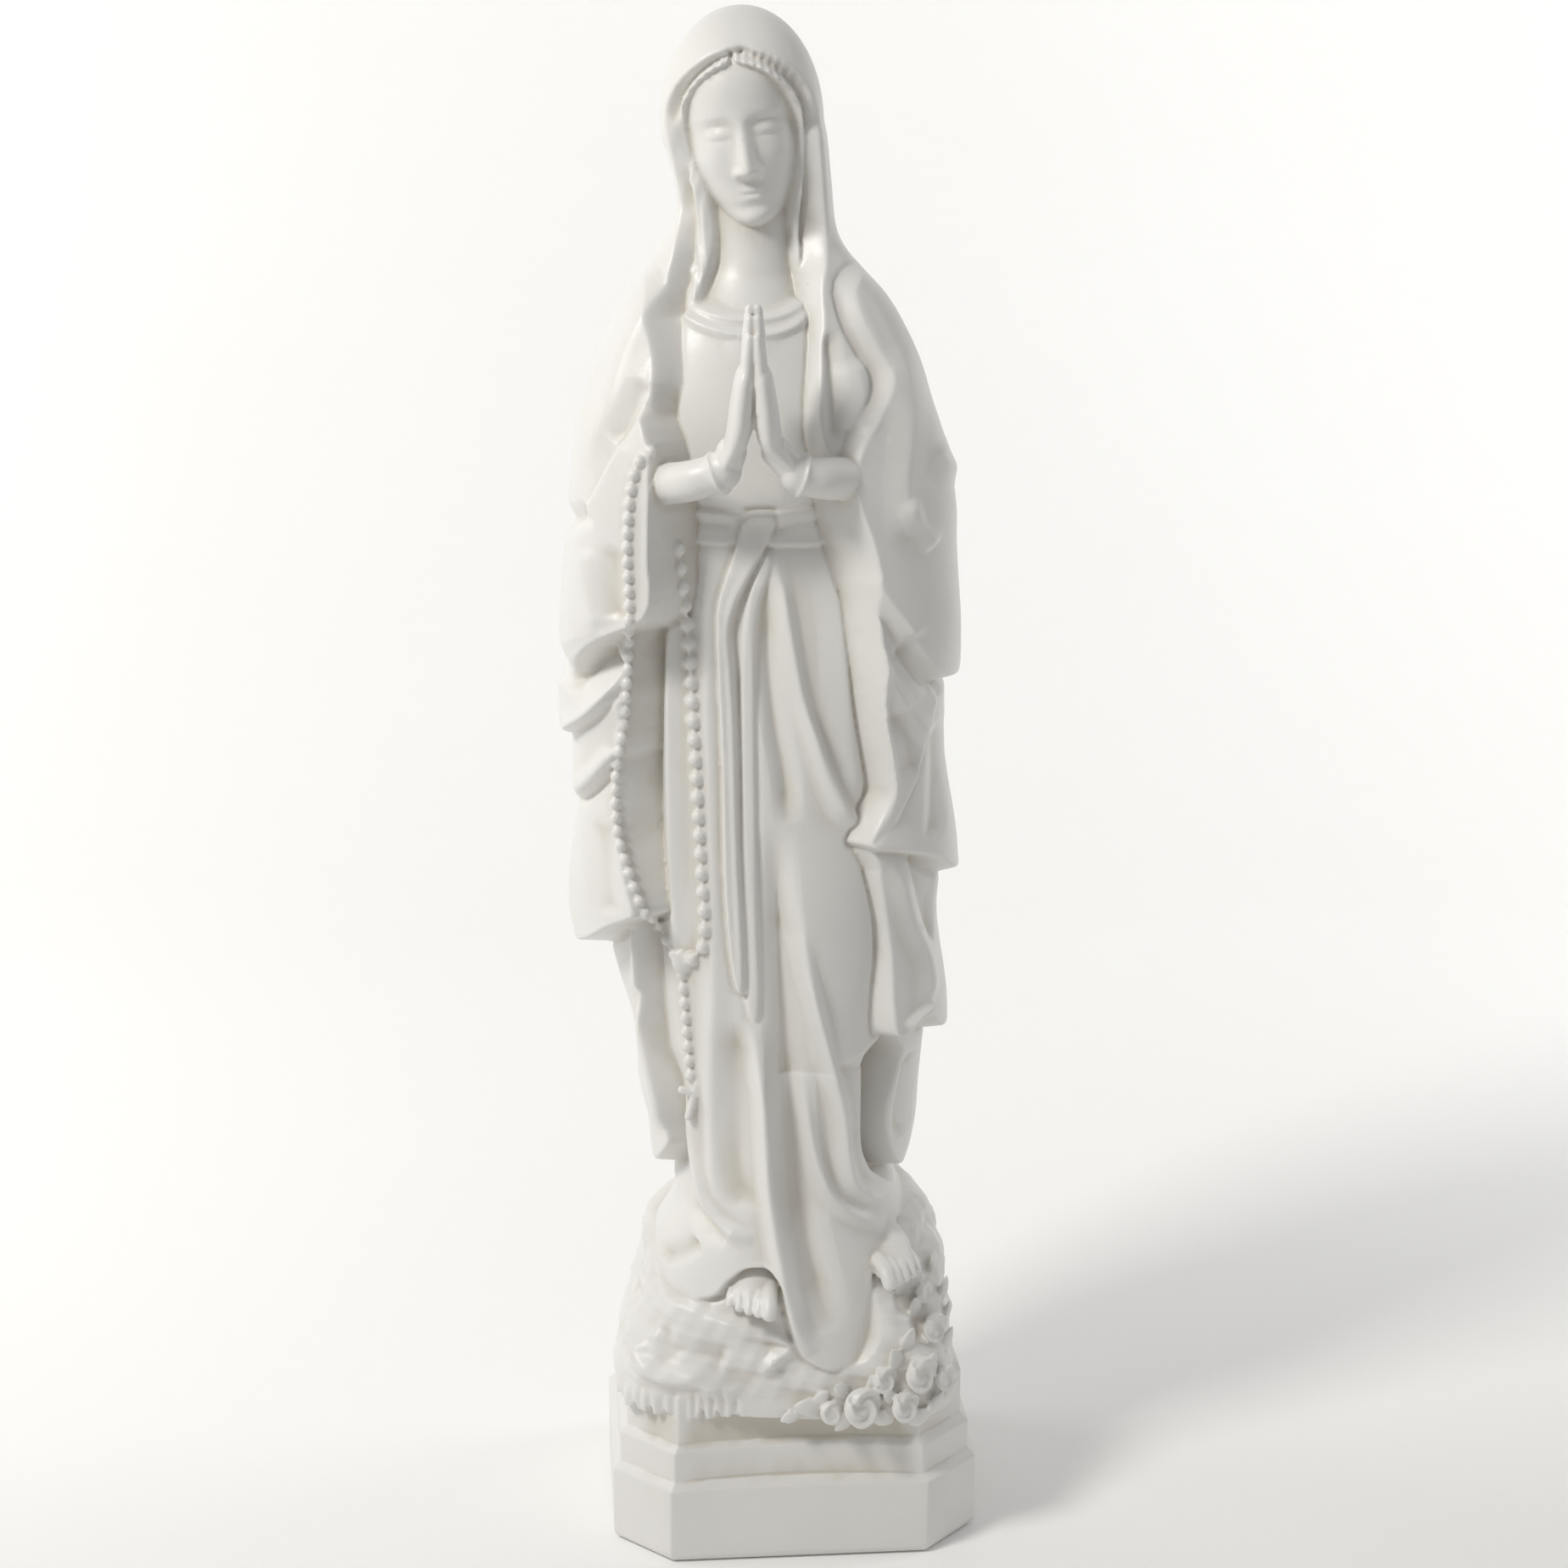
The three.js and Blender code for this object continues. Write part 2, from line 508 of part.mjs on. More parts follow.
// How far the carved surface stands from the body's line, in a direction and at a height. Angle 0 is ahead.
function surfaceRadius(angle, z) {
  const ground = formRadius(GROUND, angle, z);
  let radius = ground + rockLumps(angle, z) * ramp(z, 60, 76);
  radius += foldHeight(groundFolds, across(ground, formSide(GROUND, angle, z), angle, z), z);
  const ahead = 1 - ramp(Math.abs(angle), 0.9, 1.5);
  const still = 1 - ramp(Math.abs(angle), 1.75, 2.5);
  for (const { form, outline, lift, flare, edge, low, left, right } of CLOTH) {
    if (z < low) continue;
    const spread = flare ? flare[2] * ramp(flare[0] - z, 0, flare[0] - flare[1]) : 0;
    const own = formRadius(form, angle, z) + lift * ahead + spread * still;
    const x = across(own, formSide(form, angle, z) + spread, angle, z);
    if (x < left || x > right) continue;
    const cover = ramp(depthInside(outline, x, z), -edge, edge);
    if (cover === 0) continue;
    const folds = foldHeight(form === GOWN ? gownFolds : form === HAIR ? hairWaves : mantleFolds, x, z);
    const behind = form === MANTLE ? backFolds(angle, z) : 0;
    radius = mix(radius, own + folds + behind, cover);
  }
  return radius;
}

// A closed surface of rings between two poles. place(angle, t) gives a point for t from 0 to 1.
function shell(columns, rows, place) {
  const positions = [];
  const index = [];
  for (let j = 0; j <= rows; j++) {
    for (let i = 0; i < columns; i++) {
      positions.push(...place(((2 * i) / columns - 1) * Math.PI, j / rows));
    }
  }
  const ring = (j, i) => j * columns + (i % columns);
  for (let j = 0; j < rows; j++) {
    for (let i = 0; i < columns; i++) {
      index.push(ring(j, i), ring(j, i + 1), ring(j + 1, i + 1));
      index.push(ring(j, i), ring(j + 1, i + 1), ring(j + 1, i));
    }
  }
  for (const j of [0, rows]) {
    const centre = [0, 1, 2].map((k) => {
      let sum = 0;
      for (let i = 0; i < columns; i++) sum += positions[3 * ring(j, i) + k];
      return sum / columns;
    });
    const pole = positions.push(...centre) / 3 - 1;
    for (let i = 0; i < columns; i++) {
      index.push(pole, ...(j ? [ring(j, i), ring(j, i + 1)] : [ring(j, i + 1), ring(j, i)]));
    }
  }
  const geometry = new THREE.BufferGeometry();
  geometry.setAttribute("position", new THREE.Float32BufferAttribute(positions, 3));
  return geometry.setIndex(index);
}

function solid(geometry) {
  const bare = new THREE.BufferGeometry();
  bare.setAttribute("position", geometry.getAttribute("position"));
  bare.setIndex(geometry.index);
  const merged = mergeVertices(bare, 1e-4);
  const triVerts = new Uint32Array(merged.index.array);
  const mesh = new wasm.Mesh({ numProp: 3, vertProperties: merged.attributes.position.array, triVerts });
  return new wasm.Manifold(mesh);
}

// The frontmost point of the carved surface at (x, z).
function onSurface(x, z, lift = 0) {
  const middle = BODY_LINE(z);
  const STEPS = 90;
  let best = new THREE.Vector3(x, 0, z);
  let last = null;
  for (let i = 0; i <= STEPS; i++) {
    const angle = (i / STEPS - 0.5) * Math.PI;
    const radius = surfaceRadius(angle, z) + lift;
    const point = [middle + radius * Math.sin(angle), -radius * Math.cos(angle)];
    if (last && (last[0] - x) * (point[0] - x) <= 0) {
      const y = mix(last[1], point[1], (x - last[0]) / (point[0] - last[0] || 1));
      if (y < best.y) best = new THREE.Vector3(x, y, z);
    }
    last = point;
  }
  return best;
}

// A limb, finger or lock: a tube through places, each [x, y, z, radius], with round ends. It can be flatter
// along one direction.
function limb(places, { flat = 1, facing = [0, 1, 0], sides = 10, steps = 4 } = {}) {
  const path = new THREE.CatmullRomCurve3(places.map(([x, y, z]) => new THREE.Vector3(x, y, z)));
  const count = (places.length - 1) * steps;
  const thick = new THREE.SplineCurve(places.map((p, i) => new THREE.Vector2(i, p[3])));
  const ENDS = 3;
  const stations = [];
  for (let i = ENDS; i > 0; i--) stations.push({ t: 0, past: -Math.sin((i / ENDS) * 1.45), share: Math.cos((i / ENDS) * 1.45) });
  for (let i = 0; i <= count; i++) stations.push({ t: i / count, past: 0, share: 1 });
  for (let i = 1; i <= ENDS; i++) stations.push({ t: 1, past: Math.sin((i / ENDS) * 1.45), share: Math.cos((i / ENDS) * 1.45) });
  const wide = new THREE.Vector3(...facing).normalize();
  return solid(shell(sides, stations.length - 1, (angle, v) => {
    const { t, past, share } = stations[Math.round(v * (stations.length - 1))];
    const along = path.getTangent(t);
    const across = wide.clone().addScaledVector(along, -wide.dot(along)).normalize();
    const thin = along.clone().cross(across);
    const radius = thick.getPoint(t).y;
    const point = path.getPoint(t).addScaledVector(along, past * radius);
    point.addScaledVector(across, radius * share * Math.cos(angle));
    return point.addScaledVector(thin, radius * flat * share * Math.sin(angle));
  }));
}

// The head. u is across the face, w is up from the eyes, and its axis leans to her right and a little forwards.
const HEAD_PLACE = new THREE.Vector3(-9.6, -3, 557.6);
const HEAD_LEAN = THREE.MathUtils.degToRad(9);
const HEAD_BOW = THREE.MathUtils.degToRad(6);
const HEAD_HALF = 36; // eyes at the middle of the head
const HEAD_SIDE = profile([
  [-36, 3], [-35, 6.5], [-32.5, 10], [-28, 13], [-20, 16.8], [-10, 19.4], [0, 20.6], [10, 21], [20, 20], [28, 16],
  [33, 10.5], [36, 2],
]);
const HEAD_FRONT = profile([
  [-36, 16], [-35, 20], [-32.5, 22.6], [-28, 23], [-20, 24], [-10, 25], [0, 25.4], [10, 26.2], [20, 24.4], [28, 19],
  [33, 12], [36, 2],
]);
const HEAD_BACK = profile([
  [-36, 2], [-30, 6], [-20, 15], [-10, 23], [0, 28], [10, 30], [20, 27.5], [28, 21], [33, 13], [36, 2],
]);
const bump = (a, b) => Math.exp(-a * a - b * b);
const NOSE = profile([[-18, 0], [-16.6, 2.2], [-15.4, 5.4], [-13.6, 6.2], [-10, 5], [-4, 3.6], [1, 2.2], [5, 1], [8, 0]]);
const NOSE_WIDTH = profile([[-18, 3.4], [-13, 3.2], [-5, 2.3], [2, 2.1], [8, 4]]);

function faceRelief(u, w) {
  const side = Math.abs(u);
  let height = 0;
  height -= 2.7 * bump((side - 8.6) / 6, (w - 0.8) / 4.4); // sockets
  height += 2 * bump((side - 9) / 4.4, (w + 0.4) / 2.9); // lids over the eyes
  height -= 0.8 * bump((side - 9) / 4.6, (w + 2.3 - 0.03 * (side - 9) ** 2) / 0.7); // lowered lashes
  height += 0.9 * bump((side - 9) / 7, (w - 5.6) / 1.8); // brows
  height += NOSE(w) * bump(u / NOSE_WIDTH(w), 0);
  height += 1.9 * bump((side - 3.7) / 1.6, (w + 14.4) / 1.9); // wings of the nose
  height -= 0.4 * bump(u / 1.2, (w + 18.6) / 1.8);
  height += 1.5 * bump(u / 5.6, (w + 21 + 0.05 * side) / 1.4); // lips
  height += 1.7 * bump(u / 4.6, (w + 24.6) / 1.6);
  height -= 1.1 * bump(u / 6.6, (w + 22.7 - 0.02 * u * u) / 0.7);
  height -= 1.2 * bump(u / 6, (w + 27.8) / 1.6);
  height += 1.9 * bump(u / 6, (w + 31.6) / 3.4); // chin
  height += 0.9 * bump((side - 12.5) / 5.5, (w + 8) / 6); // cheeks
  return height;
}

function headPoint(angle, w) {
  const side = Math.sin(angle) / HEAD_SIDE(w);
  const ahead = Math.cos(angle) / (Math.cos(angle) > 0 ? HEAD_FRONT(w) : HEAD_BACK(w));
  let radius = (Math.abs(side) ** 2.2 + Math.abs(ahead) ** 2.2) ** (-1 / 2.2);
  if (Math.cos(angle) > 0) radius += faceRelief(radius * Math.sin(angle), w);
  const point = new THREE.Vector3(radius * Math.sin(angle), -radius * Math.cos(angle), w);
  point.applyAxisAngle(new THREE.Vector3(1, 0, 0), HEAD_BOW).applyAxisAngle(new THREE.Vector3(0, 1, 0), -HEAD_LEAN);
  return point.add(HEAD_PLACE);
}

const HEAD_ROWS = 60;
const HEAD_COLUMNS = 72;
const head = solid(shell(HEAD_COLUMNS, HEAD_ROWS, (angle, t) => {
  const w = -HEAD_HALF * Math.cos(Math.PI * t);
  return headPoint(angle - 0.3 * Math.sin(angle), w).toArray();
}));
const neck = limb([[-6, 0, 478, 29], [-5.5, -1, 491, 22], [-5.2, -2, 503, 16.5], [-5.5, -3, 520, 15], [-8, -2, 540, 14.5]], { sides: 24, steps: 4 });

// Praying hands: two palms and their fingers meet at PALM_LINE, fingertips up and a little forwards.
const PALM_LINE = -4.9;
// Each finger as depths and heights from knuckle to tip, with its radius, from the first finger to the little one.
const FINGERS = [
  { base: [-60, 461], tip: [-63, 490], radius: 2.4 },
  { base: [-64.5, 463], tip: [-66.5, 496], radius: 2.5 },
  { base: [-69, 462], tip: [-70.5, 492.5], radius: 2.4 },
  { base: [-73, 459], tip: [-74, 486], radius: 2.15 },
];

function hand(mirror, wrist) {
  const x = (outwards) => PALM_LINE + mirror * outwards;
  const parts = FINGERS.map(({ base, tip, radius }) => {
    const place = (t, out, share) => [x(out), mix(base[0], tip[0], t), mix(base[1], tip[1], t), radius * share];
    return limb([place(0, 2.9, 1.15), place(0.35, 2.4, 1.05), place(0.7, 1.9, 0.95), place(0.95, 1.4, 0.75)], {
      flat: 0.9,
    });
  });
  const [wristX, wristZ] = wrist;
  parts.push(
    limb([[x(3.3), -68, 468, 8.6], [x(4.3), -67, 460, 9.4], [x(5), -65.5, 453, 9.8], [x(7.2), -63, 445, 8.4], [wristX, -61, wristZ, 6]], {
      flat: 0.48, facing: [0, 1, 0], sides: 14,
    }),
    limb([[x(6.2), -59.5, 448, 3.4], [x(3.6), -57, 458, 3], [x(2.4), -56.5, 470, 2.4]]),
    limb([[x(8), -63, 443.5, 5.6], [wristX, -60.5, wristZ, 5.8], [wristX + 8 * mirror, -57.5, wristZ - 3, 6]], { sides: 12 }),
  );
  return parts;
}

const WRISTS = [[-16.2, 436.6], [11.2, 435.4]];
const SLEEVES = [
  [[-18, -60.2, 435.4, 7], [-26, -58, 432.6, 7.4], [-34, -52, 430.4, 7.8], [-43, -43, 429, 8.4], [-54, -32, 427, 10]],
  [[12.4, -60.2, 434.6, 7], [19, -58, 433.2, 7.6], [27, -51.5, 432, 8.4], [36, -42, 430.6, 9], [47, -32, 428, 10]],
];
const CUFFS = [
  [[-17, -60.6, 436, 7.4], [-19, -60, 435, 8]],
  [[11.4, -60.6, 435, 7.4], [13.4, -60, 434.4, 8]],
];
const arms = [
  ...hand(-1, WRISTS[0]),
  ...hand(1, WRISTS[1]),
  ...SLEEVES.map((places) => limb(places, { sides: 14 })),
  ...CUFFS.map((places) => limb(places, { sides: 14, steps: 2 })),
];

// Toes come out from under the hem: the forefoot, then five toes from the big one outwards.
function foot({ middle, turn, outwards }) {
  const place = (across, ahead, height, radius) => [
    middle[0] + across * Math.cos(turn) + ahead * Math.sin(turn),
    middle[1] - ahead * Math.cos(turn) + across * Math.sin(turn),
    middle[2] + height,
    radius,
  ];
  const parts = [
    limb([place(0, -20, 10, 9), place(0, -9, 6, 10), place(0, -1, 1.5, 9)], { flat: 0.6, facing: [1, 0, 0], sides: 14 }),
  ];
  for (let toe = 0; toe < 5; toe++) {
    const across = outwards * (-7.6 + 4.1 * toe);
    const reach = 9.5 - 0.5 * toe - 0.4 * toe * toe;
    const radius = toe ? 2.4 - 0.13 * toe : 3.3;
    parts.push(limb([place(across * 0.88, -4, 2, radius), place(across, reach - 4, 0.8, radius), place(across, reach, -1, radius * 0.85)], { sides: 8, steps: 3 }));
  }
  return parts;
}
const feet = [
  ...foot({ middle: [-5.5, -54, 109], turn: -0.12, outwards: -1 }),
  ...foot({ middle: [50, -43, 117.5], turn: 0.42, outwards: 1 }),
];

// A rose is a bud of petals that overlap in a spiral, and it faces outwards and up.
function rose([x, y, z], radius) {
  const outward = new THREE.Vector3(x - DRAWN_MIDDLE, y, 14).normalize();
  const turned = new THREE.Quaternion().setFromUnitVectors(new THREE.Vector3(0, 0, 1), outward);
  return solid(shell(20, 12, (angle, t) => {
    const reach = Math.sin(Math.PI * t);
    const petal = 0.16 * Math.cos(2.5 * angle + 9 * reach) * reach;
    const height = -Math.cos(Math.PI * t) * 0.62;
    const bowl = t > 0.5 ? -0.2 * (1 - reach) : 0;
    const out = radius * reach * (1 + 0.5 * petal);
    const point = new THREE.Vector3(out * Math.cos(angle), out * Math.sin(angle), radius * (height + petal + bowl));
    return point.applyQuaternion(turned).add(new THREE.Vector3(x, y, z)).toArray();
  }));
}
function leaf([x, y, z], length, turn) {
  const outward = new THREE.Vector3(x - DRAWN_MIDDLE, y, 0).normalize();
  const along = new THREE.Vector3(0, 0, 1).applyAxisAngle(outward, turn);
  const half = (t) => new THREE.Vector3(x, y, z).addScaledVector(along, (t - 0.5) * length).addScaledVector(outward, 2 * t);
  const places = [0.05, 0.35, 0.7, 1].map((t, i) => [...half(t).toArray(), [1, 3.6, 3, 0.5][i] * (length / 12)]);
  return limb(places, { flat: 0.4, facing: along.clone().cross(outward).toArray(), sides: 8, steps: 3 });
}
const flowers = [
  rose([36, -62, 69], 8), rose([53, -56, 79], 8.5), rose([67, -44, 86], 8),
  leaf([60, -58, 66], 13, -1.1), leaf([21, -64, 70], 12, 1.3), leaf([73, -37, 61], 12, -0.6), leaf([70, -40, 76], 10, -1.4),
  leaf([45, -62, 68], 10, -1.9),
];

// Thinning: edges are folded up where that changes the surface least, until few enough triangles are left.
// Each vertex keeps the sum of the planes that it has stood for.
function thin({ positions, triangles }, wanted, weightAt) {
  const points = positions.map((p) => [...p]);
  const quadrics = points.map(() => new Float64Array(10));
  const faces = triangles.map((t) => [...t]);
  const alive = faces.map(() => true);
  const around = points.map(() => new Set());
  const addPlane = (q, [a, b, c, d], w) => {
    const p = [a * a, a * b, a * c, a * d, b * b, b * c, b * d, c * c, c * d, d * d];
    for (let k = 0; k < 10; k++) q[k] += w * p[k];
  };
  const normalOf = (a, b, c) => {
    const u = [b[0] - a[0], b[1] - a[1], b[2] - a[2]];
    const v = [c[0] - a[0], c[1] - a[1], c[2] - a[2]];
    return [u[1] * v[2] - u[2] * v[1], u[2] * v[0] - u[0] * v[2], u[0] * v[1] - u[1] * v[0]];
  };
  faces.forEach((face, f) => {
    const [a, b, c] = face.map((i) => points[i]);
    const n = normalOf(a, b, c);
    const size = Math.hypot(...n) || 1e-12;
    const unit = n.map((v) => v / size);
    const plane = [...unit, -(unit[0] * a[0] + unit[1] * a[1] + unit[2] * a[2])];
    for (const i of face) {
      addPlane(quadrics[i], plane, size * weightAt(points[i]));
      around[i].add(f);
    }
  });
  const cost = (q, [x, y, z]) =>
    q[0] * x * x + 2 * q[1] * x * y + 2 * q[2] * x * z + 2 * q[3] * x + q[4] * y * y + 2 * q[5] * y * z +
    2 * q[6] * y + q[7] * z * z + 2 * q[8] * z + q[9];

  // A heap of edges with the cheapest first. stamp tells which entries are out of date.
  const heap = [];
  const stamp = new Uint32Array(points.length);
  const push = (entry) => {
    let i = heap.push(entry) - 1;
    while (i > 0) {
      const up = (i - 1) >> 1;
      if (heap[up].cost <= entry.cost) break;
      heap[i] = heap[up];
      i = up;
    }
    heap[i] = entry;
  };
  const pop = () => {
    const top = heap[0];
    const last = heap.pop();
    if (heap.length) {
      let i = 0;
      for (;;) {
        let child = 2 * i + 1;
        if (child >= heap.length) break;
        if (child + 1 < heap.length && heap[child + 1].cost < heap[child].cost) child++;
        if (heap[child].cost >= last.cost) break;
        heap[i] = heap[child];
        i = child;
      }
      heap[i] = last;
    }
    return top;
  };
  const best = (a, b) => {
    const q = quadrics[a].map((v, k) => v + quadrics[b][k]);
    const [pa, pb] = [points[a], points[b]];
    const choices = [pa, pb, pa.map((v, k) => (v + pb[k]) / 2)];
    const [m00, m01, m02, v0, m11, m12, v1, m22, v2] = q;
    const [c0, c1, c2] = [m11 * m22 - m12 * m12, m02 * m12 - m01 * m22, m01 * m12 - m02 * m11];
    const det = m00 * c0 + m01 * c1 + m02 * c2;
    if (Math.abs(det) > 1e-7 * (m00 + m11 + m22) ** 3) {
      const solved = [
        -(c0 * v0 + c1 * v1 + c2 * v2) / det,
        -(c1 * v0 + (m00 * m22 - m02 * m02) * v1 + (m01 * m02 - m00 * m12) * v2) / det,
        -(c2 * v0 + (m01 * m02 - m00 * m12) * v1 + (m00 * m11 - m01 * m01) * v2) / det,
      ];
      const reach = 1.5 * Math.hypot(...pa.map((v, k) => v - pb[k]));
      if (Math.hypot(...solved.map((v, k) => v - choices[2][k])) < reach) choices.unshift(solved);
    }
    let chosen = null;
    for (const point of choices) {
      const price = Math.max(0, cost(q, point));
      if (!chosen || price < chosen.cost) chosen = { a, b, point, cost: price };
    }
    chosen.cost += 1e-9 * Math.hypot(...pa.map((v, k) => v - pb[k]));
    chosen.stampA = stamp[a];
    chosen.stampB = stamp[b];
    return chosen;
  };
  const neighbours = (i) => {
    const set = new Set();
    for (const f of around[i]) for (const j of faces[f]) if (j !== i) set.add(j);
    return set;
  };
  for (let i = 0; i < points.length; i++) for (const j of neighbours(i)) if (i < j) push(best(i, j));

  let left = faces.length;
  const turnsOver = (i, other, point) => {
    for (const f of around[i]) {
      if (faces[f].includes(other)) continue;
      const before = normalOf(...faces[f].map((k) => points[k]));
      const after = normalOf(...faces[f].map((k) => (k === i ? point : points[k])));
      const dot = before[0] * after[0] + before[1] * after[1] + before[2] * after[2];
      if (dot < 0.25 * Math.hypot(...before) * Math.hypot(...after)) return true;
    }
    return false;
  };
  while (left > wanted && heap.length) {
    const { a, b, point, stampA, stampB } = pop();
    if (stamp[a] !== stampA || stamp[b] !== stampB) continue;
    const near = neighbours(a);
    let shared = 0;
    for (const j of neighbours(b)) if (near.has(j)) shared++;
    if (shared !== 2 || turnsOver(a, b, point) || turnsOver(b, a, point)) continue;
    for (const f of [...around[b]]) {
      if (faces[f].includes(a)) {
        alive[f] = false;
        left--;
        for (const j of faces[f]) around[j].delete(f);
      } else {
        faces[f] = faces[f].map((j) => (j === b ? a : j));
        around[a].add(f);
      }
    }
    points[a] = point;
    quadrics[a] = quadrics[a].map((v, k) => v + quadrics[b][k]);
    stamp[a]++;
    stamp[b] = 0xffffffff;
    for (const j of neighbours(a)) push(best(Math.min(a, j), Math.max(a, j)));
  }
  const place = new Map();
  faces.forEach((face, f) => alive[f] && face.forEach((i) => place.has(i) || place.set(i, place.size)));
  return {
    points: [...place.keys()].map((i) => points[i]),
    index: faces.filter((_, f) => alive[f]).flatMap((face) => face.map((i) => place.get(i))),
  };
}

// The body's surface. The ground's rim is broken, higher on the left where it hangs over the plinth.
const RIM = profile([
  [-70, 68], [-45, 68], [-38, 70.5], [-15, 67.5], [-12, 62], [8, 60.5], [12, 67], [28, 68], [33, 61], [48, 62],
  [56, 58], [76, 56],
]);
const BACK_RIM = 62;
const BODY_COLUMNS = 270;
const BODY_ROWS = 300;
const CROWN_ROWS = 12;
const CROWN_BAND = 16; // the crown's rows close up over this height
const DRAWN_TOP = DRAWN_BASE + DRAWN_HEIGHT;

const body = solid(shell(BODY_COLUMNS, BODY_ROWS, (even, t) => {
  const angle = even - 0.35 * Math.sin(even);
  const behind = ramp(Math.abs(angle), 1.3, 1.9);
  const rim = mix(RIM(9 + 64 * Math.sin(angle)), BACK_RIM, behind);
  const row = t * BODY_ROWS;
  const straight = BODY_ROWS - CROWN_ROWS;
  const closing = Math.sin((0.97 * Math.PI * Math.max(0, row - straight)) / CROWN_ROWS / 2);
  const z = mix(rim, DRAWN_TOP - CROWN_BAND, Math.min(1, row / straight)) + CROWN_BAND * closing;
  const radius = surfaceRadius(angle, z);
  return [BODY_LINE(z) + radius * Math.sin(angle), -radius * Math.cos(angle), z];
}));

// The carving as one solid, thinned where it is plain. More is kept of the face, hands, feet and flowers.
const KEPT = [
  { at: [-9, -30, 552], reach: 30, weight: 9 },
  { at: [-5, -65, 465], reach: 30, weight: 4 },
  { at: [-6, -60, 110], reach: 14, weight: 5 },
  { at: [54, -46, 116], reach: 14, weight: 5 },
  { at: [52, -54, 77], reach: 26, weight: 2 },
];
function weightAt([x, y, z]) {
  const kept = KEPT.find(({ at, reach }) => Math.hypot(x - at[0], y - at[1], z - at[2]) < reach);
  if (kept) return kept.weight;
  return y > 20 ? 0.5 : 1;
}

function parts(manifold) {
  const { vertProperties, triVerts } = manifold.getMesh();
  const positions = [];
  const triangles = [];
  for (let i = 0; i < vertProperties.length; i += 3) positions.push([...vertProperties.subarray(i, i + 3)]);
  for (let i = 0; i < triVerts.length; i += 3) triangles.push([...triVerts.subarray(i, i + 3)]);
  return { positions, triangles };
}

// The outermost skin of a solid: pockets that close up inside it, as between hair and veil, are filled.
function outerSkin(manifold) {
  const { positions, triangles } = parts(manifold);
  const owner = positions.map((_, i) => i);
  const find = (i) => {
    while (owner[i] !== i) i = owner[i] = owner[owner[i]];
    return i;
  };
  for (const [a, b, c] of triangles) {
    owner[find(a)] = find(b);
    owner[find(b)] = find(c);
  }
  const sizes = new Map();
  for (const [a] of triangles) sizes.set(find(a), (sizes.get(find(a)) ?? 0) + 1);
  const outer = [...sizes].sort((a, b) => b[1] - a[1])[0][0];
  const place = new Map();
  positions.forEach((_, i) => find(i) === outer && place.set(i, place.size));
  return {
    positions: [...place.keys()].map((i) => positions[i]),
    triangles: triangles.filter(([a]) => place.has(a)).map((corners) => corners.map((i) => place.get(i))),
  };
}

const carving = [neck, head, ...arms, ...feet, ...flowers].reduce((sum, piece) => sum.add(piece), body);
const thinned = thin(outerSkin(carving), SURFACE_TRIANGLES, weightAt);

function geometryOf(points, index) {
  const geometry = new THREE.BufferGeometry();
  geometry.setAttribute("position", new THREE.Float32BufferAttribute(points.flat(), 3));
  return geometry.setIndex([...index]);
}
let figure = solid(geometryOf(thinned.points, thinned.index));

// The rosary hangs over the surface in two strands, with a medal, and a short end with its cross.
const STRANDS = [
  {
    line: [
      [-42.5, 442], [-47, 438], [-49.5, 430], [-51, 418], [-51.5, 405], [-51, 392], [-51, 380], [-52, 365], [-53, 350],
      [-54.5, 335], [-57, 322], [-58, 307], [-57, 295], [-54, 284], [-50, 273], [-46, 264], [-41, 255], [-36, 247],
    ],
    size: 4.6, step: 5.6,
  },
  {
    line: [[-33, 405], [-32, 395], [-30.5, 380], [-29, 360], [-28, 340], [-27, 320], [-26, 300], [-25, 280], [-24, 262], [-25, 251], [-29, 246]],
    size: 5.6, step: 7.4,
  },
  { line: [[-33, 239], [-32, 225], [-31, 210], [-30, 197]], size: 4.8, step: 6.6 },
];
function placesAlong(line, step) {
  const curve = new THREE.SplineCurve(line.map(([x, z]) => new THREE.Vector2(x, z)));
  const count = Math.round(curve.getLength() / step);
  return curve.getSpacedPoints(count);
}
const MEDAL = { place: [-32.5, 244.5], width: 9, height: 10 };
const CROSS = { place: [-29, 187], height: 15, width: 11, bar: 3.2, lean: 0.25 };

const beads = STRANDS.flatMap(({ line, size, step }) =>
  placesAlong(line, step).map(({ x, y }) => {
    const place = onSurface(x, y, 0.12 * size);
    return new THREE.OctahedronGeometry(0.58 * size, 0).rotateY(0.6).translate(place.x, place.y, place.z);
  }),
);
const medalPlace = onSurface(...MEDAL.place, 0.5);
const medal = new THREE.IcosahedronGeometry(0.5, 1).scale(MEDAL.width, 4, MEDAL.height);
medal.translate(medalPlace.x, medalPlace.y, medalPlace.z);
const crossPlace = onSurface(...CROSS.place, 0.4);
const crossBars = [
  new THREE.BoxGeometry(CROSS.bar, 4, CROSS.height),
  new THREE.BoxGeometry(CROSS.width, 3.6, CROSS.bar).translate(0, 0, CROSS.height * 0.18),
].map((bar) => bar.rotateY(CROSS.lean).rotateZ(-0.4).translate(crossPlace.x, crossPlace.y, crossPlace.z));
for (const piece of [...beads, medal, ...crossBars]) {
  piece.deleteAttribute("normal");
  piece.deleteAttribute("uv");
  figure = figure.add(solid(piece.index ? piece : mergeVertices(piece, 1e-4)));
}

// The plinth: three tiers, each with its corners cut, and sloped ledges between them.
const PLINTH_HEIGHT = FOOT_TIER_HEIGHT + MIDDLE_TIER_HEIGHT + TOP_TIER_HEIGHT + 2 * LEDGE_RISE;
const FRONT_STEPS = 12;

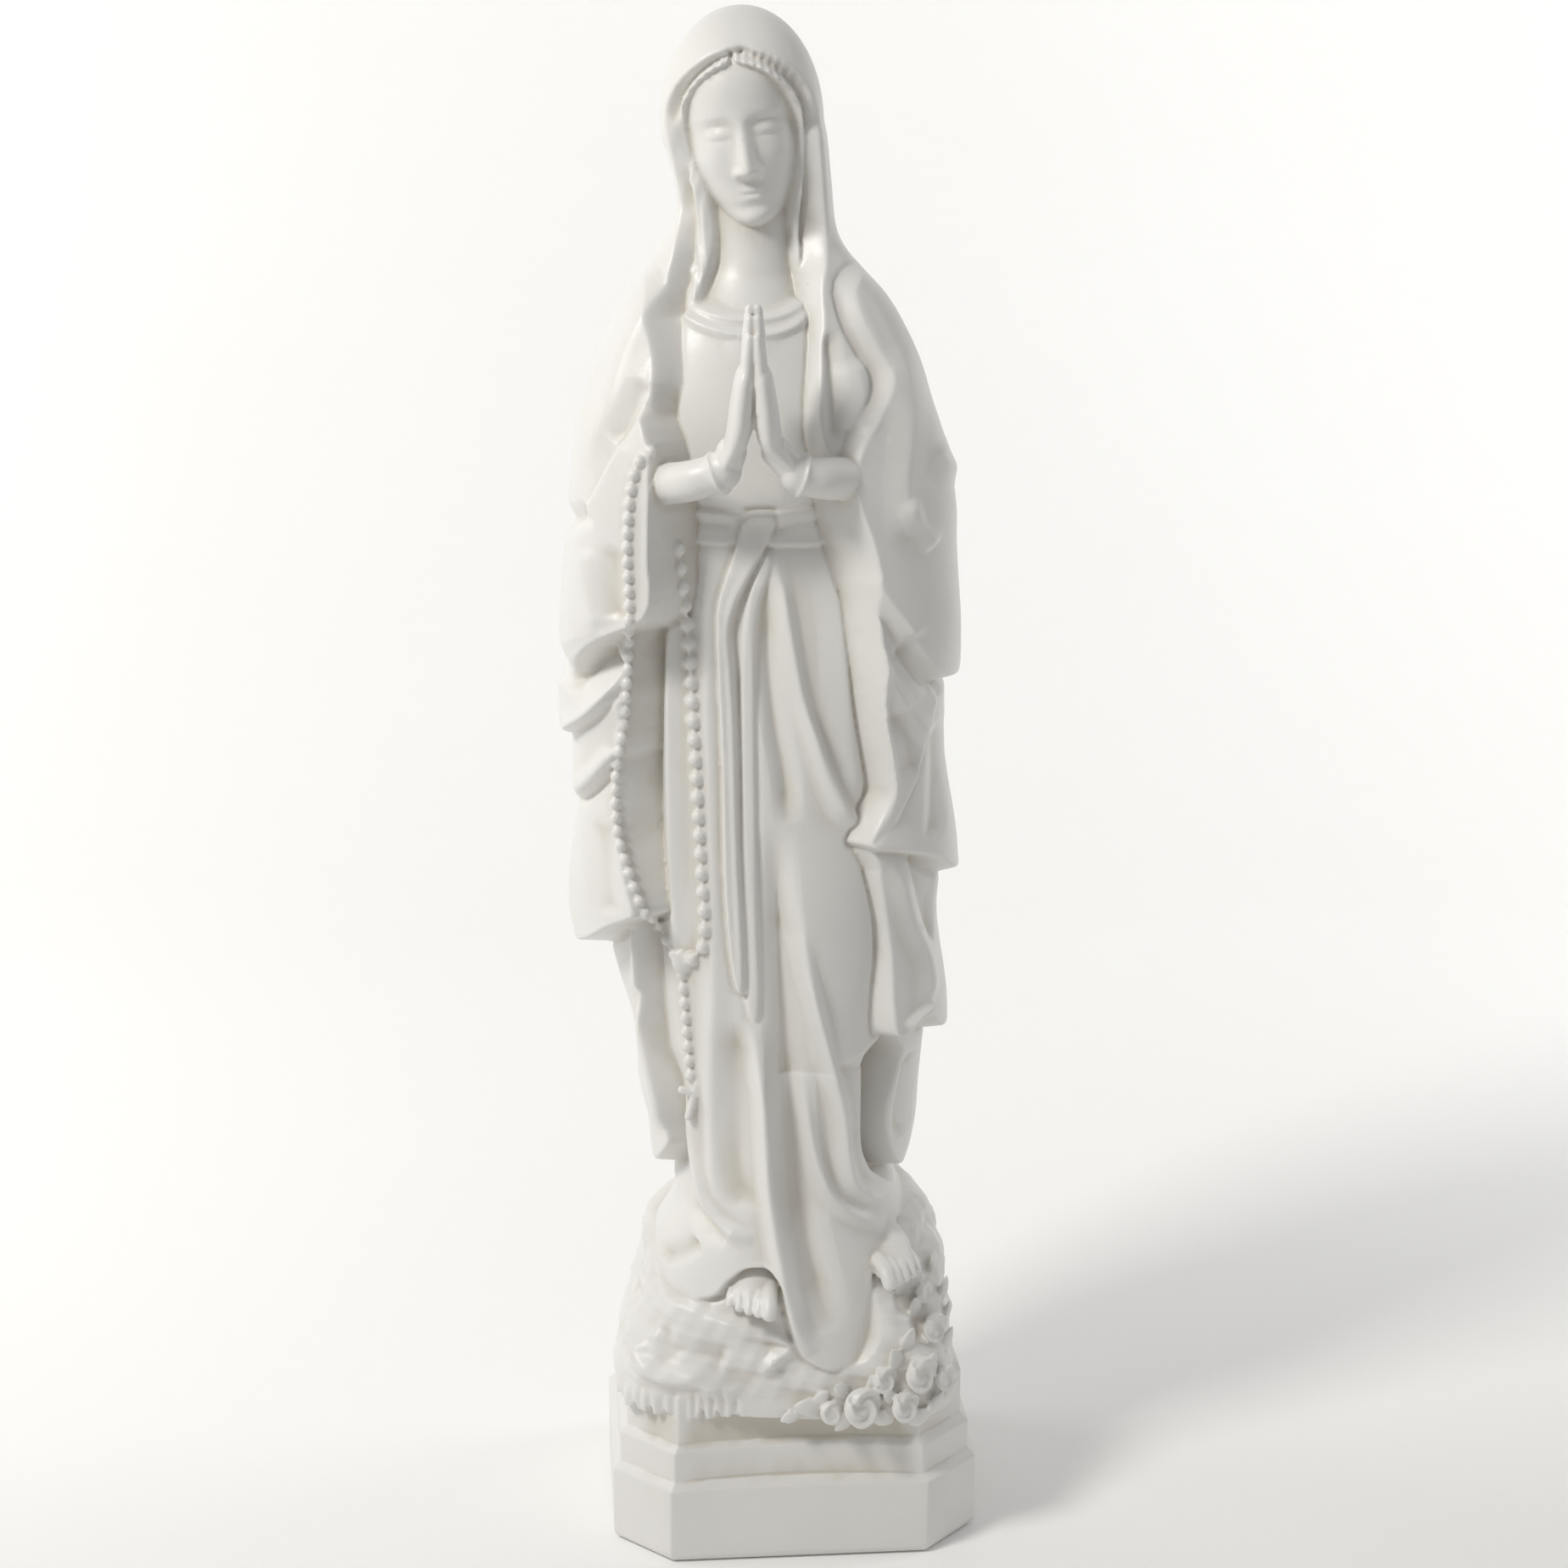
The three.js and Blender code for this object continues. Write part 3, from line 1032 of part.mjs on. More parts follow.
function plinthRing({ z, inset, bow }) {
  const half = PLINTH_WIDTH / 2 - inset;
  const deep = PLINTH_DEPTH / 2 - inset;
  const front = half - CORNER_CUT + inset * 0.4;
  const side = deep - CORNER_CUT + inset * 0.4;
  const ring = [];
  for (let i = 0; i <= FRONT_STEPS; i++) {
    const x = (i / FRONT_STEPS) * 2 - 1;
    ring.push([x * front, -deep + bow * (1 - x * x), z]);
  }
  return [...ring, [half, -side, z], [half, side, z], [front, deep, z], [-front, deep, z], [-half, side, z], [-half, -side, z]];
}

const levels = [];
const ROUND_STEPS = 4;
for (let i = 0; i <= ROUND_STEPS; i++) {
  const turn = (i / ROUND_STEPS) * (Math.PI / 2);
  levels.push({ z: FOOT_EDGE_ROUND * (1 - Math.cos(turn)), inset: FOOT_EDGE_ROUND * (1 - Math.sin(turn)), bow: 0 });
}
const middleFoot = FOOT_TIER_HEIGHT + LEDGE_RISE;
const middleTop = middleFoot + MIDDLE_TIER_HEIGHT;
const topFoot = middleTop + LEDGE_RISE;
levels.push(
  { z: FOOT_TIER_HEIGHT, inset: 0, bow: FRONT_BOW * 0.4 },
  { z: middleFoot, inset: MIDDLE_TIER_INSET, bow: FRONT_BOW },
  { z: middleTop, inset: MIDDLE_TIER_INSET, bow: FRONT_BOW },
  { z: topFoot, inset: TOP_TIER_INSET, bow: FRONT_BOW },
  { z: PLINTH_HEIGHT, inset: TOP_TIER_INSET, bow: FRONT_BOW },
);
const rings = levels.map(plinthRing);
const plinth = solid(loft(rings));

// A closed solid through rings of as many points each, with flat ends.
function loft(rings) {
  const count = rings[0].length;
  const index = [];
  for (let j = 0; j + 1 < rings.length; j++) {
    for (let i = 0; i < count; i++) {
      const next = (i + 1) % count;
      const [a, b, c, d] = [j * count + i, j * count + next, (j + 1) * count + next, (j + 1) * count + i];
      index.push(a, b, c, a, c, d);
    }
  }
  for (const [start, ring, up] of [[0, rings[0], false], [(rings.length - 1) * count, rings.at(-1), true]]) {
    const flat = ring.map(([x, y]) => new THREE.Vector2(x, y));
    for (const [a, b, c] of THREE.ShapeUtils.triangulateShape(flat, [])) {
      index.push(start + a, ...(up ? [start + b, start + c] : [start + c, start + b]));
    }
  }
  return geometryOf(rings.flat(), index);
}

// The figure at its own height, on the plinth and turned, joined with it into the one casting.
const figureScale = FIGURE_HEIGHT / DRAWN_HEIGHT;
const figureMesh = figure.getMesh();
const placed = new THREE.BufferGeometry();
placed.setAttribute("position", new THREE.Float32BufferAttribute(figureMesh.vertProperties, 3));
placed.setIndex([...figureMesh.triVerts]);
placed.translate(-DRAWN_MIDDLE, 0, -DRAWN_BASE).scale(figureScale, figureScale, figureScale);
placed.rotateZ(FIGURE_TURN).translate(0, 0, PLINTH_HEIGHT);

// Where the skin only touches itself at a point, the two sides are drawn back from each other a little.
const TOUCH_GAP = 0.05;
function partTouching({ points, index }) {
  const skin = geometryOf(points, index);
  skin.computeVertexNormals();
  const normal = new THREE.Vector3();
  const seen = new Map();
  points.forEach((point, i) => {
    const key = point.map((v) => v.toFixed(2)).join();
    seen.set(key, [...(seen.get(key) ?? []), i]);
  });
  for (const same of seen.values()) {
    if (same.length < 2) continue;
    for (const i of same) {
      normal.fromBufferAttribute(skin.attributes.normal, i);
      points[i] = points[i].map((v, k) => v - TOUCH_GAP * normal.getComponent(k));
    }
  }
  return geometryOf(points, index);
}

const casting = thin(outerSkin(solid(placed).add(plinth)), CASTING_TRIANGLES, () => 1);
const geometry = partTouching(casting);
geometry.computeVertexNormals();

const plaster = new THREE.MeshStandardMaterial({ color: 0xefede8, roughness: 0.5, metalness: 0 });
const statue = new THREE.Mesh(geometry, plaster);
statue.name = "statue";

const group = new THREE.Group();
group.add(statue);
export default group;
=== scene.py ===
import math

import bmesh
import bpy
import numpy as np
from mathutils import Matrix, Vector


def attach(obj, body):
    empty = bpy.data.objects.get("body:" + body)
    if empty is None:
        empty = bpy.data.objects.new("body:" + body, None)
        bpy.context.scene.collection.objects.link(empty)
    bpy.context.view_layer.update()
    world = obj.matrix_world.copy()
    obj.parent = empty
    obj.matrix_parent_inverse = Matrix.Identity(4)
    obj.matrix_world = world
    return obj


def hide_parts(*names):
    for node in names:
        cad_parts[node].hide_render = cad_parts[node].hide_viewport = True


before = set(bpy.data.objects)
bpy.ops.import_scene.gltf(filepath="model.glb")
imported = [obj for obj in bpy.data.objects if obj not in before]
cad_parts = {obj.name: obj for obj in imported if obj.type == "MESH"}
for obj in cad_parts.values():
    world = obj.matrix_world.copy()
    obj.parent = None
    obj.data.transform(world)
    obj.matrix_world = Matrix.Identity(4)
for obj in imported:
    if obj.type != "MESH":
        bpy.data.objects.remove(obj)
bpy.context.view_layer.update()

# Studio. The camera stands a little over a metre off and looks down on the figure, square to her body,
# which is turned on its plinth. A pale sweep of card stands under and behind the statue. A small soft lamp
# lights it from the front left and above, a weak broad one from the right, and two light the sweep.
FIGURE_TURN = math.radians(-4.5)  # the figure's turn on the plinth, and so the camera's
PLINTH_MIDDLE = 8  # mm to the right of the line that the figure is drawn from
AIM_HEIGHT = 0.3
CAMERA_DISTANCE = 1.1
CAMERA_DOWN = math.radians(14.5)
PHOTO_SIDE = 1849  # the frame's width and height
FOCAL_PIXELS = 3283.2
FRAME_SHIFT = (19.5, 11.1)  # pixels


def placed(name, data):
    """A new object in the scene."""
    made = bpy.data.objects.new(name, data)
    bpy.context.scene.collection.objects.link(made)
    return made


camera_data = bpy.data.cameras.new("camera")
camera = placed("camera", camera_data)
bpy.context.scene.camera = camera
aim = Vector((-PLINTH_MIDDLE / 1000, 0, AIM_HEIGHT))
back = Vector((0, -math.cos(CAMERA_DOWN), math.sin(CAMERA_DOWN)))
camera.location = Matrix.Rotation(FIGURE_TURN, 3, "Z") @ (aim + CAMERA_DISTANCE * back)
camera.rotation_euler = (math.pi / 2 - CAMERA_DOWN, 0, FIGURE_TURN)
camera_data.sensor_width = 36
camera_data.lens = camera_data.sensor_width * FOCAL_PIXELS / PHOTO_SIDE
camera_data.shift_x = FRAME_SHIFT[0] / PHOTO_SIDE
camera_data.shift_y = FRAME_SHIFT[1] / PHOTO_SIDE


def linear(code):
    """An sRGB hex colour as the linear colour that shaders take."""
    channels = [int(code[i : i + 2], 16) / 255 for i in (1, 3, 5)]
    return [c / 12.92 if c <= 0.04045 else ((c + 0.055) / 1.055) ** 2.4 for c in channels] + [1]


def add_node(tree, kind, settings=None, links=None):
    """Adds a node. Settings name its options or its sockets, and links give a socket's source."""
    node = tree.nodes.new(kind)
    for name, value in (settings or {}).items():
        if name in node.inputs:
            node.inputs[name].default_value = value
        else:
            setattr(node, name, value)
    for name, source in (links or {}).items():
        tree.links.new(source, node.inputs[name])
    return node


SWEEP_WIDTH = 6
SWEEP_FRONT = -3
SWEEP_BACK = 1.6
SWEEP_RADIUS = 0.8
SWEEP_TOP = 2.6
SWEEP_STEPS = 12
sweep_mesh = bmesh.new()
profile_points = [(SWEEP_FRONT, 0), (SWEEP_BACK - SWEEP_RADIUS, 0)]
for step in range(1, SWEEP_STEPS + 1):
    turn = step / SWEEP_STEPS * math.pi / 2
    profile_points.append(
        (SWEEP_BACK - SWEEP_RADIUS * (1 - math.sin(turn)), SWEEP_RADIUS * (1 - math.cos(turn)))
    )
profile_points.append((SWEEP_BACK, SWEEP_TOP))
row = [sweep_mesh.verts.new((-SWEEP_WIDTH / 2, y, z)) for y, z in profile_points]
edges = [sweep_mesh.edges.new(pair) for pair in zip(row, row[1:])]
pulled = bmesh.ops.extrude_edge_only(sweep_mesh, edges=edges)["geom"]
bmesh.ops.translate(
    sweep_mesh, verts=[v for v in pulled if isinstance(v, bmesh.types.BMVert)], vec=(SWEEP_WIDTH, 0, 0)
)
for face in sweep_mesh.faces:
    face.smooth = True
bmesh.ops.recalc_face_normals(sweep_mesh, faces=sweep_mesh.faces)
card = bpy.data.meshes.new("sweep")
sweep_mesh.to_mesh(card)
sweep_mesh.free()
sweep = placed("sweep", card)


def shaded(name):
    """A new material, its node tree and its shader."""
    made = bpy.data.materials.new(name)
    made.use_nodes = True
    return made, made.node_tree, made.node_tree.nodes["Principled BSDF"]


# Matt white card: no pattern shows from here, only a faint unevenness of tone.
card_finish, tree, shader = shaded("matt_card")
shader.inputs["Roughness"].default_value = 0.9
place = add_node(tree, "ShaderNodeTexCoord")
tone = add_node(tree, "ShaderNodeTexNoise", {"Scale": 1.5}, {"Vector": place.outputs["Object"]})
shade = add_node(tree, "ShaderNodeValToRGB", links={"Fac": tone.outputs["Fac"]})
shade.color_ramp.elements[0].color = linear("#F6F5F3")
shade.color_ramp.elements[1].color = linear("#FAFAF9")
tree.links.new(shade.outputs["Color"], shader.inputs["Base Color"])
card.materials.append(card_finish)

LAMPS = [
    # place, what it points at, watts, side, colour
    ((-0.9, -0.6, 1.3), (0, 0, 0.3), 12, 0.3, "#FFFDF8"),
    ((1.3, -1.0, 0.7), (0, 0, 0.3), 0.3, 0.9, "#FAFBFF"),
    ((-1.3, 0.3, 1.0), (-0.9, 1.6, 0.4), 11, 1, "#FFFFFF"),
    ((1.3, 0.3, 1.0), (0.9, 1.6, 0.4), 11, 1, "#FFFFFF"),
]
for where, target, watts, side, colour in LAMPS:
    lamp_data = bpy.data.lights.new("lamp", "AREA")
    lamp_data.energy = watts
    lamp_data.size = side
    lamp_data.color = linear(colour)[:3]
    lamp = placed("lamp", lamp_data)
    lamp.location = where
    lamp.rotation_euler = (Vector(target) - Vector(where)).to_track_quat("-Z", "Y").to_euler()
world = bpy.data.worlds.new("studio")
bpy.context.scene.world = world
world.use_nodes = True
world.node_tree.nodes["Background"].inputs["Color"].default_value = linear("#F8F8F8")
world.node_tree.nodes["Background"].inputs["Strength"].default_value = 0.35
bpy.context.scene.view_settings.view_transform = "Standard"

# The cloth and the ground: the veil and mantle over the gown and sash, which run down onto broken rock.
# They are cast in plaster in one with the rest. Heights are from the ground and x is across the figure as
# seen from the front, both in millimetres. Around a line up her body every point has a reach outwards.


def profile(pairs):
    """A smooth curve through (height, value) pairs that are listed from the lowest up."""
    heights, values = np.array(pairs, float).T
    slopes = np.empty_like(values)
    slopes[1:-1] = (values[2:] - values[:-2]) / (heights[2:] - heights[:-2])
    slopes[0] = (values[1] - values[0]) / (heights[1] - heights[0])
    slopes[-1] = (values[-1] - values[-2]) / (heights[-1] - heights[-2])

    def at(z):
        z = np.clip(z, heights[0], heights[-1])
        i = np.clip(np.searchsorted(heights, z, side="right") - 1, 0, len(heights) - 2)
        span = heights[i + 1] - heights[i]
        t = (z - heights[i]) / span
        rise = (3 - 2 * t) * t * t
        lead = t * (1 - t) * span
        curve = lead * ((1 - t) * slopes[i] - t * slopes[i + 1])
        return values[i] + (values[i + 1] - values[i]) * rise + curve

    return at


def ramp(x, start, end):
    t = np.clip((x - start) / (end - start), 0, 1)
    return t * t * (3 - 2 * t)


def curve_through(points):
    """A smooth curve through points of any dimension, as a function of 0 to 1."""
    points = np.array(points, float)

    def at(t):
        t = np.clip(np.asarray(t, float), 0, 1) * (len(points) - 1)
        i = np.clip(t.astype(int), 0, len(points) - 2)
        t = (t - i)[..., None]
        before, start, end, after = (points[np.clip(i + k, 0, len(points) - 1)] for k in (-1, 0, 1, 2))
        lead, follow = (end - before) / 2, (after - start) / 2
        return (
            (2 * start - 2 * end + lead + follow) * t**3
            + (-3 * start + 3 * end - 2 * lead - follow) * t**2
            + lead * t
            + start
        )

    return at


def nearest(line, x, z, reach):
    """How far each (x, z) is from a line of points, up to a reach, and how far along it from 0 to 1.

    The points are listed by rising z.
    """
    distance = np.full(x.shape, float(reach))
    along = np.zeros(x.shape)
    for i in range(len(line) - 1):
        start, way = line[i], line[i + 1] - line[i]
        low, high = sorted((start[1], line[i + 1][1]))
        part = slice(*np.searchsorted(z, (low - reach, high + reach)))
        dx, dz = x[part] - start[0], z[part] - start[1]
        t = np.clip((dx * way[0] + dz * way[1]) / max(way @ way, 1e-12), 0, 1)
        d = np.hypot(dx - t * way[0], dz - t * way[1])
        closer = d < distance[part]
        distance[part][closer] = d[closer]
        along[part][closer] = ((i + t) / (len(line) - 1))[closer]
    return distance, along


def depth_inside(outline, x, z, reach=6):
    """How far each (x, z) lies inside a closed outline, up to a reach; negative outside."""
    inside = np.zeros(x.shape, bool)
    for (ax, az), (bx, bz) in zip(outline, np.roll(outline, -1, axis=0)):
        part = slice(*np.searchsorted(z, sorted((az, bz))))
        if az != bz:
            inside[part] ^= x[part] < ax + (z[part] - az) / (bz - az) * (bx - ax)
    distance, _ = nearest(np.vstack([outline, outline[:1]]), x, z, reach)
    return np.where(inside, distance, -distance)


def rounded(outline, times=2):
    """Cuts the corners of a closed outline until it runs smoothly."""
    outline = np.array(outline, float)
    for _ in range(times):
        following = np.roll(outline, -1, axis=0)
        after, before = 0.8 * outline + 0.2 * following, 0.2 * outline + 0.8 * following
        outline = np.stack([after, before], 1).reshape(-1, 2)
    return outline


BODY_LINE = profile([(60, 7), (150, 5), (250, 0), (400, -3), (500, -6), (540, -7), (600, -9.5)])
CROWN_START = 560
CROWN_HEIGHT = 40

# Plain forms: the x of each side, and the depths ahead of and behind the body's line, by height.
MANTLE = {
    "left": profile([
        (100, -50), (130, -44), (146, -44), (153, -47), (168, -48.5), (184, -52), (208, -53.5), (232, -60),
        (256, -66), (280, -70), (304, -73), (328, -74), (352, -75), (376, -76.5), (416, -76.5), (440, -74),
        (456, -70.5), (472, -65), (488, -58), (496, -53), (504, -46.5), (512, -41.5), (520, -36.5),
        (528, -34), (536, -34.6), (544, -36.7), (552, -39.2), (560, -40), (600, -40),
    ]),
    "right": profile([
        (100, 60), (130, 53), (146, 53.5), (153, 57), (168, 60), (184, 61), (208, 63), (232, 65), (256, 67),
        (280, 69), (304, 70), (352, 69), (376, 71), (400, 72.5), (416, 72.5), (440, 68), (456, 62.7),
        (472, 57.5), (488, 49.5), (496, 44), (504, 36.5), (512, 29.5), (520, 25.8), (536, 24), (552, 22.4),
        (560, 21), (600, 20),
    ]),
    "front": profile([
        (100, 44), (150, 48), (200, 52), (300, 54), (380, 56), (420, 57), (440, 53), (460, 46), (480, 38),
        (500, 30), (520, 26), (545, 31), (560, 35.5), (580, 37), (600, 37),
    ]),
    "back": profile([
        (100, 54), (150, 50), (230, 49), (330, 47), (400, 47), (450, 47), (480, 42), (500, 35), (520, 29),
        (540, 31), (560, 36), (600, 36),
    ]),
}
GOWN = {
    "left": profile([
        (80, -52), (110, -50), (120, -46), (128, -41), (136, -37.5), (144, -38), (150, -38), (170, -38),
        (200, -44), (300, -56), (400, -60), (450, -56), (488, -46), (504, -32), (520, -27), (550, -30),
        (600, -30),
    ]),
    "right": profile([
        (80, 62), (110, 62), (124, 60), (134, 55), (144, 50), (150, 49), (170, 50), (200, 52), (300, 55),
        (400, 56), (450, 50), (488, 34), (504, 24), (520, 18), (550, 16), (600, 14),
    ]),
    "front": profile([
        (80, 63), (100, 60), (130, 55), (150, 52), (200, 51), (250, 51), (300, 48), (350, 45), (380, 42),
        (400, 39), (412, 37), (430, 40), (450, 41), (470, 37), (486, 31), (494, 24), (502, 8), (520, 4),
        (550, 12), (600, 14),
    ]),
    "back": profile([(80, 50), (150, 42), (300, 40), (450, 36), (500, 26), (560, 28), (600, 28)]),
}
HAIR = {
    "left": profile([
        (480, -40), (500, -37), (512, -35.5), (530, -33.5), (545, -36.5), (560, -39.5), (600, -39.5),
    ]),
    "right": profile([(480, 22), (500, 21), (520, 21.5), (545, 21.5), (560, 20.5), (600, 19)]),
    "front": profile([
        (480, 32), (492, 30), (505, 22), (520, 17), (540, 19), (555, 23), (568, 29), (580, 34), (600, 34),
    ]),
    "back": profile([(480, 20), (600, 20)]),
}
GROUND = {
    "left": profile([
        (56, -62), (70, -61.5), (80, -58.5), (92, -55), (104, -51), (112, -50), (122, -47.5), (132, -43),
        (139, -36), (146, -28), (165, 0),
    ]),
    "right": profile([
        (56, 76), (72, 75), (88, 73.5), (104, 70), (120, 67), (128, 65), (136, 57), (146, 50), (165, 20),
    ]),
    "front": profile([
        (56, 60.5), (68, 61), (80, 60), (90, 58), (100, 55), (110, 51), (120, 46), (140, 32), (165, 10),
    ]),
    "back": profile([(56, 58), (72, 59), (90, 58), (110, 56), (125, 53), (140, 46), (165, 10)]),
}

SECTION_POWER = 2.3  # a little squarer than an ellipse
GROUND_POWER = 5  # at the rim, where the ground fills the plinth's corners
GROUND_ROUNDS = (72, 125)  # the heights between which it turns as round as the rest


def crown_share(z):
    return np.sqrt(np.maximum(1e-6, 1 - (np.maximum(0, z - CROWN_START) / CROWN_HEIGHT) ** 2))


def form_side(form, angle, z):
    middle = BODY_LINE(z)
    reach = np.where(angle < 0, middle - form["left"](z), form["right"](z) - middle)
    return crown_share(z) * np.maximum(1, reach)


def form_radius(form, angle, z):
    depth = np.where(np.cos(angle) > 0, form["front"](z), form["back"](z))
    beside = np.abs(np.sin(angle)) / form_side(form, angle, z)
    ahead = np.abs(np.cos(angle)) / (crown_share(z) * depth)
    power = SECTION_POWER
    if form is GROUND:
        power = GROUND_POWER + (SECTION_POWER - GROUND_POWER) * ramp(z, *GROUND_ROUNDS)
    return (beside**power + ahead**power) ** (-1 / power)


def across(radius, side, angle, z):
    """Where a point lies across the figure. Past the side it is carried on round the back."""
    x = radius * np.abs(np.sin(angle))
    return BODY_LINE(z) + np.sign(angle) * np.where(np.cos(angle) >= 0, x, 2 * side - x)


